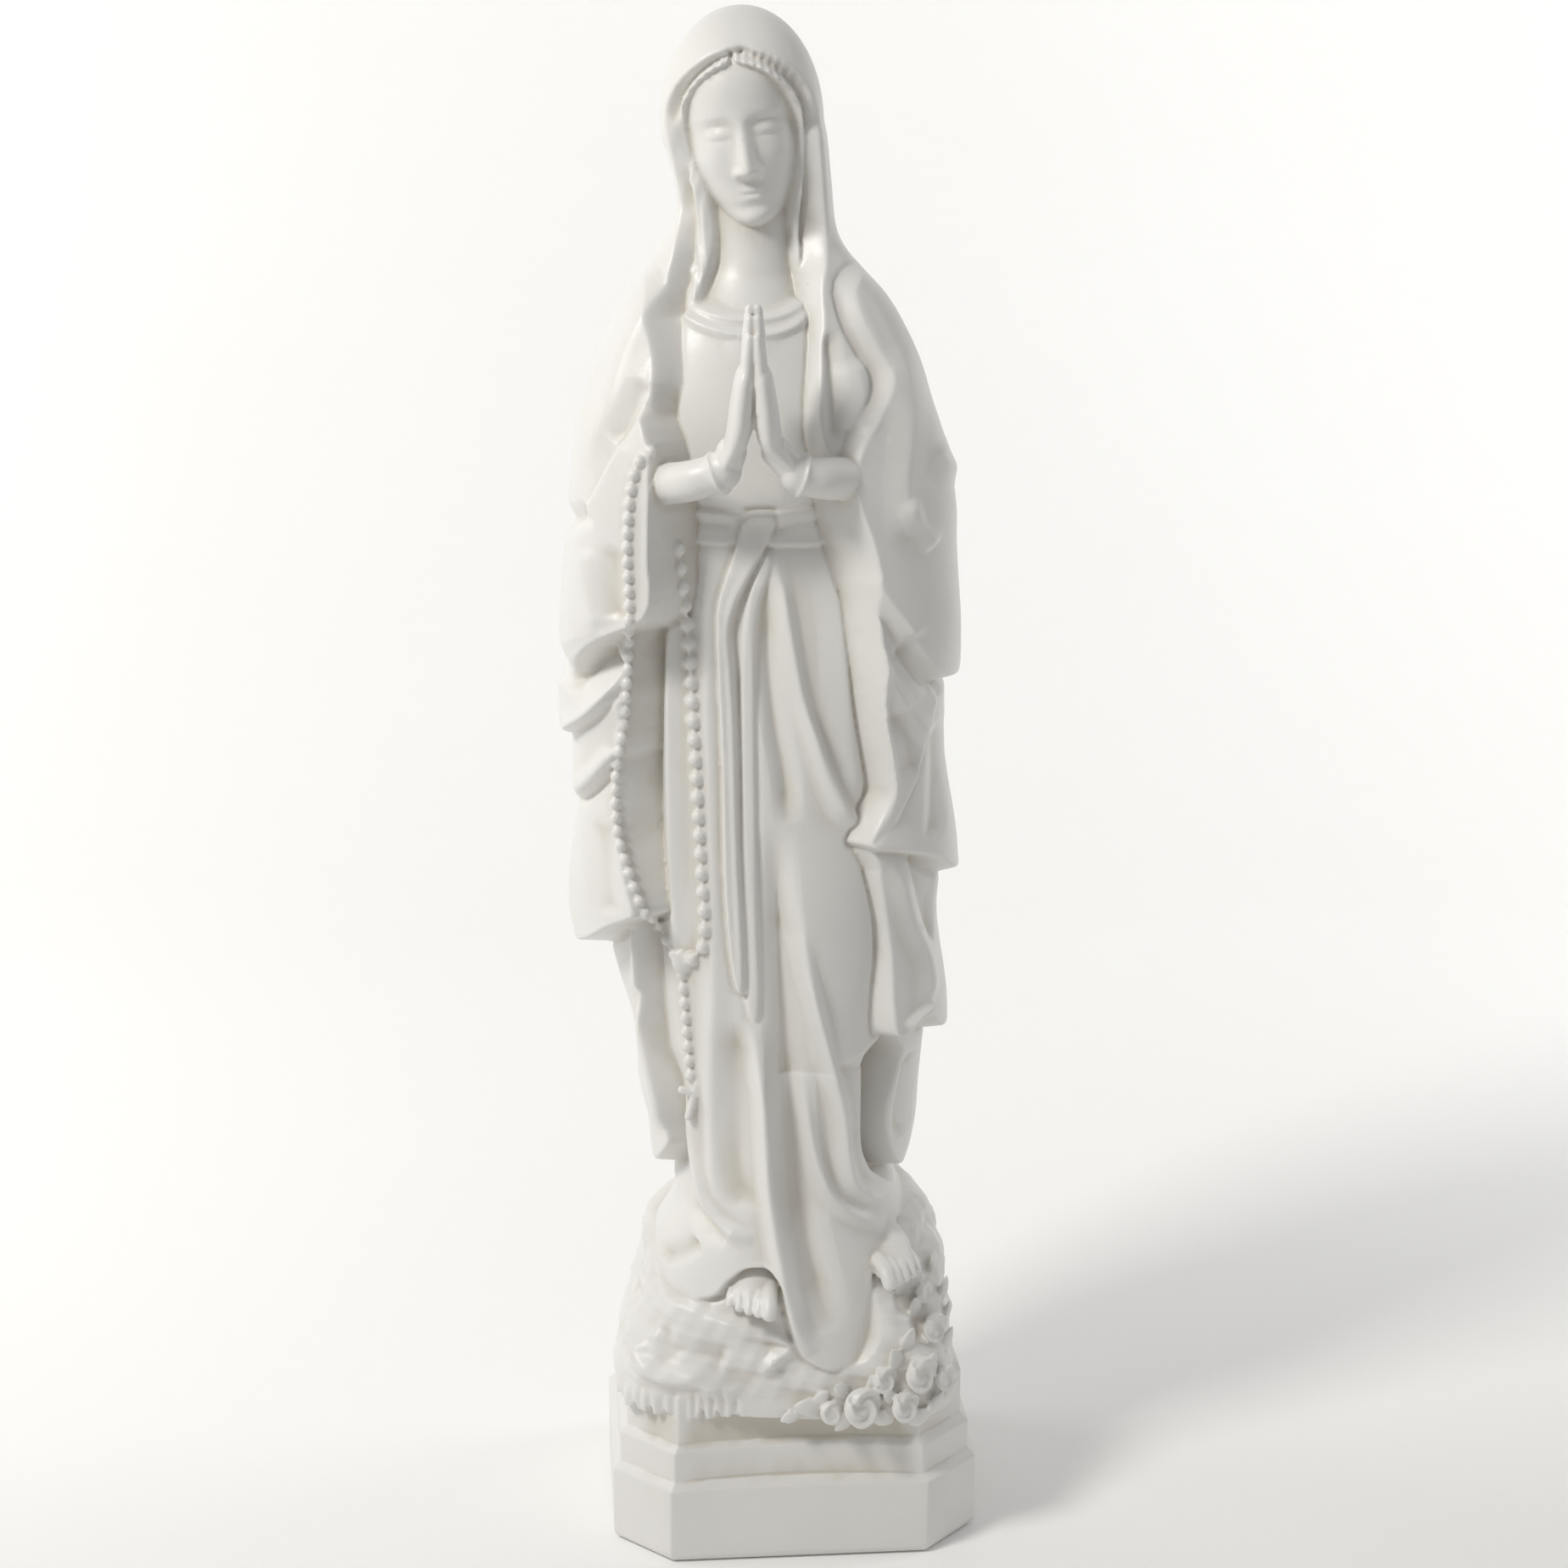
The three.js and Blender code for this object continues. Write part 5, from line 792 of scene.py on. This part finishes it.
def limb(places, flat=1.0, facing=(0, 1, 0), columns=24, rows=32):
    """A limb, finger or lock: a tube through (x, y, z, radius), with round ends, flatter one way."""
    path = curve_through([p[:3] for p in places])
    thick = curve_through([p[3:] for p in places])
    even = np.linspace(0, 1, 60)
    walked = np.concatenate([[0], np.cumsum(np.linalg.norm(np.diff(path(even), axis=0), axis=1))])
    length = walked[-1]
    facing = np.array(facing, float)

    def place(angle, t):
        first, last = thick(0.0)[0], thick(1.0)[0]
        s = -first + t * (length + first + last)
        u = np.interp(s, walked, even)
        radius = thick(u)[:, 0]
        over = np.where(s < 0, s / first, np.where(s > length, (s - length) / last, 0))
        along = path(np.minimum(1, u + 0.01)) - path(np.maximum(0, u - 0.01))
        along /= np.linalg.norm(along, axis=1)[:, None]
        wide = facing - (along @ facing)[:, None] * along
        wide /= np.linalg.norm(wide, axis=1)[:, None]
        thin = np.cross(along, wide)
        share = np.sqrt(np.maximum(0, 1 - over**2)) * radius
        end = np.where(s < 0, first, last) * over
        return (
            path(u)
            + along * end[:, None]
            + wide * (share * np.cos(angle))[:, None]
            + thin * (flat * share * np.sin(angle))[:, None]
        )

    return moulded(columns, rows, place)


NECK = [
    (-6, 1, 472, 38), (-6, 0.5, 484, 34.5), (-5.8, -0.5, 493, 28), (-5.5, -1.5, 502, 21),
    (-5.3, -2.5, 511, 16.8), (-5.8, -3, 524, 15.2), (-8, -2, 540, 14.5),
]
shells.append(moulded(320, 200, head_place))
shells.append(limb(NECK, columns=96, rows=96))

# The praying hands, palm to palm with the fingertips up, and the gown's tight sleeves with their rolled
# cuffs, which come out of the mantle. Plaster like the rest.
PALM_LINE = -4.9
FINGERS = [
    # depth and height of the knuckle and of the tip, and the radius, first finger to little one
    ((-60, 461), (-63, 490), 2.4),
    ((-64.5, 463), (-66.5, 496), 2.5),
    ((-69, 462), (-70.5, 492.5), 2.4),
    ((-73, 459), (-74, 486), 2.15),
]


def hand(mirror, wrist_x, wrist_z):
    def x(outwards):
        return PALM_LINE + mirror * outwards

    made = []
    for base, tip, radius in FINGERS:
        along = [
            # share of the way, out from the palm line, share of the radius
            (0, 2.9, 1.15), (0.3, 2.6, 1.02), (0.37, 2.5, 1.07), (0.44, 2.4, 1), (0.62, 2.1, 0.94),
            (0.68, 2, 0.99), (0.74, 1.9, 0.92), (0.96, 1.4, 0.74),
        ]
        places = [
            (x(out), base[0] + t * (tip[0] - base[0]), base[1] + t * (tip[1] - base[1]), radius * share)
            for t, out, share in along
        ]
        made.append(limb(places, flat=0.92, rows=48))
    palm = [
        (x(3.3), -68, 468, 8.6), (x(4.3), -67, 460, 9.4), (x(5), -65.5, 453, 9.8), (x(7.2), -63, 445, 8.4),
        (wrist_x, -61, wrist_z, 6),
    ]
    made.append(limb(palm, flat=0.48, columns=40))
    made.append(limb([(x(6.2), -59.5, 448, 3.4), (x(3.6), -57, 458, 3), (x(2.4), -56.5, 470, 2.4)]))
    wrist = [
        (x(8), -63, 443.5, 5.6), (wrist_x, -60.5, wrist_z, 5.8),
        (wrist_x + 8 * mirror, -57.5, wrist_z - 3, 6),
    ]
    made.append(limb(wrist, columns=32))
    return made


SLEEVES = [
    [
        (-18, -60.2, 435.4, 7), (-26, -58, 432.6, 7.4), (-34, -51, 430.4, 7.6), (-43, -40, 429, 7.8),
        (-54, -20, 427, 8),
    ],
    [
        (12.4, -60.2, 434.6, 7), (19, -58, 433.2, 7.6), (27, -50.5, 432, 8), (36, -38, 430.6, 8),
        (47, -20, 428, 8),
    ],
]
CUFFS = [
    [(-16.4, -60.8, 436.3, 7.2), (-18, -60.3, 435.4, 8.6), (-19.8, -60, 434.7, 7.4)],
    [(10.8, -60.8, 435.2, 7.2), (12.4, -60.3, 434.7, 8.6), (14.2, -60, 434.2, 7.4)],
]
shells += hand(-1, -16.2, 436.6) + hand(1, 11.2, 435.4)
shells += [limb(places, columns=48, rows=48) for places in SLEEVES]
shells += [limb(places, columns=48) for places in CUFFS]

# Her bare feet: forefoot and five toes each, out from under the hem on the rock. Plaster.


def foot(middle, turn, outwards):
    def place(sideways, ahead, height, radius):
        return (
            middle[0] + sideways * math.cos(turn) + ahead * math.sin(turn),
            middle[1] - ahead * math.cos(turn) + sideways * math.sin(turn),
            middle[2] + height,
            radius,
        )

    instep = [place(0, -20, 10, 9), place(0, -9, 6, 10), place(0, -1, 1.5, 9)]
    made = [limb(instep, flat=0.6, facing=(1, 0, 0), columns=40)]
    for toe in range(5):
        sideways = outwards * (-7.6 + 4.1 * toe)
        reach = 12 - 0.5 * toe - 0.4 * toe * toe
        radius = 2.3 - 0.1 * toe if toe else 3.1
        knuckles = [
            place(sideways * 0.8, -4, 4, radius),
            place(sideways * 0.94, reach - 5, 2.8, radius),
            place(sideways, reach - 2, 1, radius * 0.96),
            place(sideways, reach, -1.4, radius * 0.92),
        ]
        made.append(limb(knuckles))
    return made


shells += foot((-5.5, -54, 109), -0.12, -1)
shells += foot((50, -43, 117.5), 0.42, 1)

# Roses and leaves that grow over the ground at her left foot, and a few leaves along its front. Plaster.


def turned_to(outward):
    return np.array(Vector((0, 0, 1)).rotation_difference(Vector(outward).normalized()).to_matrix())


def rose(centre, radius):
    turn = turned_to((centre[0] - PLINTH_MIDDLE, centre[1], 14))

    def place(angle, t):
        reach = np.sin(np.pi * t)
        spiral = 2.5 * angle + 10 * reach
        petal = 0.38 * (1 - np.abs(np.sin(spiral / 2))) ** 0.7 * reach
        height = -0.5 * np.cos(np.pi * t) + petal
        height -= np.where(t > 0.5, 0.22 * (1 - reach), 0)
        out = radius * reach * (1 + 0.35 * petal)
        points = np.stack([out * np.cos(angle), out * np.sin(angle), radius * height], 1)
        return points @ turn.T + np.array(centre)

    return moulded(96, 64, place)


def leaf(centre, length, turn):
    outward = Vector((centre[0] - PLINTH_MIDDLE, centre[1], 0)).normalized()
    along = Matrix.Rotation(turn, 3, outward) @ Vector((0, 0, 1))
    places = []
    for t, radius in ((0.05, 1), (0.35, 3.6), (0.7, 3), (1, 0.5)):
        point = Vector(centre) + (t - 0.5) * length * along + 2 * t * outward
        places.append((*point, radius * length / 12))
    return limb(places, flat=0.4, facing=along.cross(outward))


def on_surface(x, z, lift=0.0):
    """The frontmost points of the carved surface at each (x, z)."""
    x, z = np.atleast_1d(np.asarray(x, float)), np.atleast_1d(np.asarray(z, float))
    angles = np.linspace(-0.5, 0.5, 181) * np.pi
    grid, heights = np.meshgrid(angles, z)
    radius = surface_radius(grid.ravel(), heights.ravel()).reshape(grid.shape) + lift
    xs, ys = BODY_LINE(heights) + radius * np.sin(grid), -radius * np.cos(grid)
    found = []
    for want, row_x, row_y, height in zip(x, xs, ys, z):
        hits = np.flatnonzero((row_x[:-1] - want) * (row_x[1:] - want) <= 0)
        depths = [
            row_y[i] + (row_y[i + 1] - row_y[i]) * (want - row_x[i]) / (row_x[i + 1] - row_x[i] or 1)
            for i in hits
        ]
        found.append((want, min(depths, default=0), height))
    return np.array(found)


ROSES = [
    # across, height, radius
    (37, 67, 7.5), (54, 66, 6), (46, 77, 5), (60, 79, 7), (66, 92, 6), (70, 74, 5), (62, 105, 4.5),
    (25, 64, 4.5),
]
LEAVES = [
    # across, height, length, lean
    (16, 66, 13, 1.4), (9, 62, 9, 1.9), (29, 73, 10, 0.8), (30, 60, 11, 2.2), (45, 61, 11, -2),
    (41, 75, 10, 0.3), (50, 85, 12, 0.5), (55, 92, 11, -0.3), (60, 60, 12, -1.3), (66, 64, 12, -0.7),
    (58, 100, 12, 0.4),
    (64, 83, 10, 1.6), (71, 84, 12, -0.5), (70, 101, 12, -0.2), (66, 112, 11, 0.5), (52, 108, 10, 0.9),
    (72, 66, 12, -0.9), (21, 70, 9, -0.7), (48, 70, 9, 1.2), (72, 94, 9, 0.6),
]
ROSE_LIFT = 0.4  # of the radius
LEAF_LIFT = 0.8
shells += [rose(on_surface(x, z, ROSE_LIFT * radius)[0], radius) for x, z, radius in ROSES]
shells += [leaf(on_surface(x, z, LEAF_LIFT)[0], length, lean) for x, z, length, lean in LEAVES]

# The rosary, cast on the cloth: one strand over her right arm, one from the waist, a medal, and the short
# end with its cross. Plaster like the rest.
STRANDS = [
    # line, bead width, step
    ([
        (-42.5, 442), (-47, 438), (-49.5, 430), (-51, 418), (-51.5, 405), (-51, 392), (-51, 380),
        (-52, 365), (-53, 350), (-54.5, 335), (-57, 322), (-58, 307), (-57, 295), (-54, 284), (-50, 273),
        (-46, 264), (-41, 255), (-36, 247),
    ], 4.6, 5.4),
    ([
        (-33, 405), (-32, 395), (-30.5, 380), (-29, 360), (-28, 340), (-27, 320), (-26, 300), (-25, 280),
        (-24, 262), (-25, 251), (-29, 246),
    ], 5.6, 7.2),
    ([(-33, 239), (-32, 225), (-31, 210), (-30, 197)], 4.8, 6.4),
]
BEAD_LIFT = 0.14  # of the bead's width
THREAD = 0.8  # radius
CROSS = [
    # middle, half the length, radius of each bar
    ((0, 0, 0), (1.9, 0, 7.3), 1.7),
    ((0.7, 0, 2.7), (-5.3, 0, 1.4), 1.6),
]


def spaced(line, step):
    """Places a step apart along a smooth line."""
    fine = curve_through(line)(np.linspace(0, 1, 40 * len(line)))
    walked = np.concatenate([[0], np.cumsum(np.linalg.norm(np.diff(fine, axis=0), axis=1))])
    stops = np.linspace(0, walked[-1], round(walked[-1] / step) + 1)
    return np.stack([np.interp(stops, walked, fine[:, k]) for k in range(2)], 1)


def ball(centre, size, columns=14, rows=10):
    """An egg-shaped ball, size wide, deep and high."""

    def place(angle, t):
        out = np.sin(np.pi * t) / 2
        points = np.stack([out * np.sin(angle), -out * np.cos(angle), -np.cos(np.pi * t) / 2], 1)
        return points * np.array(size) + np.array(centre)

    return moulded(columns, rows, place)


for line, size, step in STRANDS:
    stops = spaced(line, step)
    places = on_surface(stops[:, 0], stops[:, 1], BEAD_LIFT * size)
    shells += [ball(place, (size, size, size)) for place in places]
    for start, end in zip(places, places[1:]):
        thread = [(*start, THREAD), (*((start + end) / 2), THREAD), (*end, THREAD)]
        shells.append(limb(thread, columns=8, rows=8))
medal_place = on_surface(-32.5, 244.5, 0.8)[0]
shells.append(ball(medal_place, (9, 4, 10), 32, 24))
cross_place = on_surface(-29, 187, 0.6)[0]
for offset, half, thick in CROSS:
    middle, half = cross_place + np.array(offset), np.array(half)
    bar = [(*(middle - half), thick), (*middle, thick), (*(middle + half), thick)]
    shells.append(limb(bar, columns=16))

# The plinth: three tiers with cut corners and weathered ledges between them, solid plaster, cast in one
# with the figure, which stands in its top.
PLINTH_WIDTH = 147
PLINTH_DEPTH = 126
CORNER_CUT = 22
FOOT_TIER = 31
MIDDLE_TIER = 12
TOP_TIER = 19
LEDGE_RISE = 3
MIDDLE_INSET = 3
TOP_INSET = 6
FRONT_BOW = 4
FOOT_ROUND = 3.5
FOOT_STEPS = 6
FOOT_BOW = 0.4  # of the front's bow, at the top of the foot
CUT_LOSS = 0.4  # of the inset, by which the cut corners shrink
PLINTH_HEIGHT = FOOT_TIER + MIDDLE_TIER + TOP_TIER + 2 * LEDGE_RISE
FRONT_STEPS = 24
levels = [(0.0, FOOT_ROUND, 0.0)]  # height, inset, bow of the front
for step in range(1, FOOT_STEPS + 1):
    turn = step / FOOT_STEPS * math.pi / 2
    levels.append((FOOT_ROUND * (1 - math.cos(turn)), FOOT_ROUND * (1 - math.sin(turn)), 0.0))
middle_foot = FOOT_TIER + LEDGE_RISE
top_foot = middle_foot + MIDDLE_TIER + LEDGE_RISE
levels += [
    (FOOT_TIER, 0, FRONT_BOW * FOOT_BOW),
    (middle_foot, MIDDLE_INSET, FRONT_BOW),
    (middle_foot + MIDDLE_TIER, MIDDLE_INSET, FRONT_BOW),
    (top_foot, TOP_INSET, FRONT_BOW),
    (PLINTH_HEIGHT, TOP_INSET, FRONT_BOW),
]
plinth_mesh = bmesh.new()
rings = []
for z, inset, bow in levels:
    half, deep = PLINTH_WIDTH / 2 - inset, PLINTH_DEPTH / 2 - inset
    front, side = half - CORNER_CUT + inset * CUT_LOSS, deep - CORNER_CUT + inset * CUT_LOSS
    ring = [(x * front, -deep + bow * (1 - x * x), z) for x in np.linspace(-1, 1, FRONT_STEPS + 1)]
    ring += [(half, -side, z), (half, side, z), (front, deep, z)]
    ring += [(-front, deep, z), (-half, side, z), (-half, -side, z)]
    rings.append([plinth_mesh.verts.new(point) for point in ring])
for lower, upper in zip(rings, rings[1:]):
    edges = [
        plinth_mesh.edges.get(pair) or plinth_mesh.edges.new(pair)
        for row in (lower, upper)
        for pair in zip(row, row[1:] + row[:1])
    ]
    bmesh.ops.bridge_loops(plinth_mesh, edges=edges)
plinth_mesh.faces.new(rings[0][::-1])
plinth_mesh.faces.new(rings[-1])
bmesh.ops.recalc_face_normals(plinth_mesh, faces=plinth_mesh.faces)
plinth = bpy.data.meshes.new("plinth")
plinth_mesh.to_mesh(plinth)
plinth_mesh.free()

# The casting: cloth, head, hands, feet, flowers, rosary and plinth are one piece of plaster, filled where
# they meet, with the small softness of a mould. Its finish is a satin off-white paint, with painted shade
# that darkens and yellows it in the deepest hollows.
VOXEL = 0.6
FINISHED_FACES = 190000
HOLLOW_SOFTENINGS = 12
HOLLOW_DEPTH = 1.1  # mm under the softened surface: the full painted shade
figure_mesh = bmesh.new()
for shell in shells:
    figure_mesh.from_mesh(shell)
    bpy.data.meshes.remove(shell)
bmesh.ops.translate(figure_mesh, verts=figure_mesh.verts, vec=(-PLINTH_MIDDLE, 0, 0))
figure_turn = Matrix.Rotation(FIGURE_TURN, 3, "Z")
bmesh.ops.rotate(figure_mesh, verts=figure_mesh.verts, cent=(0, 0, 0), matrix=figure_turn)
figure_mesh.from_mesh(plinth)
bmesh.ops.scale(figure_mesh, verts=figure_mesh.verts, vec=(0.001, 0.001, 0.001))
casting_mesh = bpy.data.meshes.new("statue_casting")
figure_mesh.to_mesh(casting_mesh)
figure_mesh.free()
casting = placed("statue_casting", casting_mesh)


def apply_modifiers(piece):
    """Leaves a piece with the mesh that its modifiers make."""
    depsgraph = bpy.context.evaluated_depsgraph_get()
    made = bpy.data.meshes.new_from_object(piece.evaluated_get(depsgraph))
    piece.modifiers.clear()
    old, piece.data = piece.data, made
    bpy.data.meshes.remove(old)


remesh = casting.modifiers.new("one skin", "REMESH")
remesh.mode = "VOXEL"
remesh.voxel_size = VOXEL / 1000
smooth = casting.modifiers.new("mould softness", "SMOOTH")
smooth.factor = 0.5
smooth.iterations = 1
apply_modifiers(casting)

# Pockets that close up inside, as between hair and veil, are filled: only the outer skin is kept.
edges = values_of(casting.data.edges, "vertices", 2, np.int32)
label = np.arange(len(casting.data.vertices))
while True:
    lowest = np.minimum(label[edges[:, 0]], label[edges[:, 1]])
    fresh = label.copy()
    np.minimum.at(fresh, edges[:, 0], lowest)
    np.minimum.at(fresh, edges[:, 1], lowest)
    fresh = fresh[fresh]
    if (fresh == label).all():
        break
    label = fresh
skins, sizes = np.unique(label, return_counts=True)
inner = np.flatnonzero(label != skins[sizes.argmax()])
if len(inner):
    cleaned = bmesh.new()
    cleaned.from_mesh(casting.data)
    cleaned.verts.ensure_lookup_table()
    bmesh.ops.delete(cleaned, geom=[cleaned.verts[i] for i in inner], context="VERTS")
    cleaned.to_mesh(casting.data)
    cleaned.free()

triangles = sum(p.loop_total - 2 for p in casting.data.polygons)
thinner = casting.modifiers.new("thinned where plain", "DECIMATE")
thinner.ratio = FINISHED_FACES / triangles
apply_modifiers(casting)
casting.data.name = "statue_casting"
casting.data.shade_smooth()

# How deep in a hollow each point lies, for the painted shade: its depth under the same surface smoothed
# out.
count = len(casting.data.vertices)
points = values_of(casting.data.vertices, "co", 3).astype(float)
normals = values_of(casting.data.vertex_normals, "vector", 3).astype(float)
edges = values_of(casting.data.edges, "vertices", 2, np.int32)
ends = np.concatenate([edges[:, 0], edges[:, 1]])
others = np.concatenate([edges[:, 1], edges[:, 0]])
degree = np.maximum(1, np.bincount(ends, minlength=count))
soft = points.copy()
for _ in range(HOLLOW_SOFTENINGS):
    soft = np.stack([np.bincount(ends, soft[others, k], count) for k in range(3)], 1) / degree[:, None]
depth = 1000 * ((soft - points) * normals).sum(1)
for _ in range(2):
    depth = (depth + np.bincount(ends, depth[others], count) / degree) / 2
# The hollow's depth, 0 to 1, sets how much painted shade the paint takes there.
hollow = casting.data.attributes.new("hollow", "FLOAT", "POINT")
hollow.data.foreach_set("value", np.clip(depth / HOLLOW_DEPTH, 0, 1).astype(np.float32))

finish, tree, shader = shaded("white_painted_plaster")
shader.inputs["Specular IOR Level"].default_value = 0.5
place = {"Vector": add_node(tree, "ShaderNodeTexCoord").outputs["Object"]}
hollow_shade = add_node(tree, "ShaderNodeAttribute", {"attribute_name": "hollow"})
clouds = add_node(tree, "ShaderNodeTexNoise", {"Scale": 26, "Detail": 3}, place)
paint = add_node(tree, "ShaderNodeMix", {"data_type": "RGBA"}, {"Factor": clouds.outputs["Fac"]})
paint.inputs["A"].default_value = linear("#E6E5E2")
paint.inputs["B"].default_value = linear("#DFDDD9")
# Painted shade: the paint turns darker and yellower towards the deepest hollows.
painted_shade = add_node(tree, "ShaderNodeMix", {"data_type": "RGBA"}, {"Factor": hollow_shade.outputs["Fac"]})
tree.links.new(paint.outputs["Result"], painted_shade.inputs["A"])
painted_shade.inputs["B"].default_value = linear("#CBC5BA")
tree.links.new(painted_shade.outputs["Result"], shader.inputs["Base Color"])
satin = {"To Min": 0.32, "To Max": 0.46}
sheen = add_node(tree, "ShaderNodeMapRange", satin, {"Value": clouds.outputs["Fac"]})
tree.links.new(sheen.outputs["Result"], shader.inputs["Roughness"])
grain = add_node(tree, "ShaderNodeTexNoise", {"Scale": 700, "Detail": 2}, place)
low_relief = {"Strength": 0.12, "Distance": 0.0004}
relief = add_node(tree, "ShaderNodeBump", low_relief, {"Height": grain.outputs["Fac"]})
tree.links.new(relief.outputs["Normal"], shader.inputs["Normal"])
casting.data.materials.append(finish)
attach(casting, "root")
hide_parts("statue")

corners = [casting.matrix_world @ Vector(corner) for corner in casting.bound_box]
visual_box = [[end(c[k] for c in corners) for k in range(3)] for end in (min, max)]
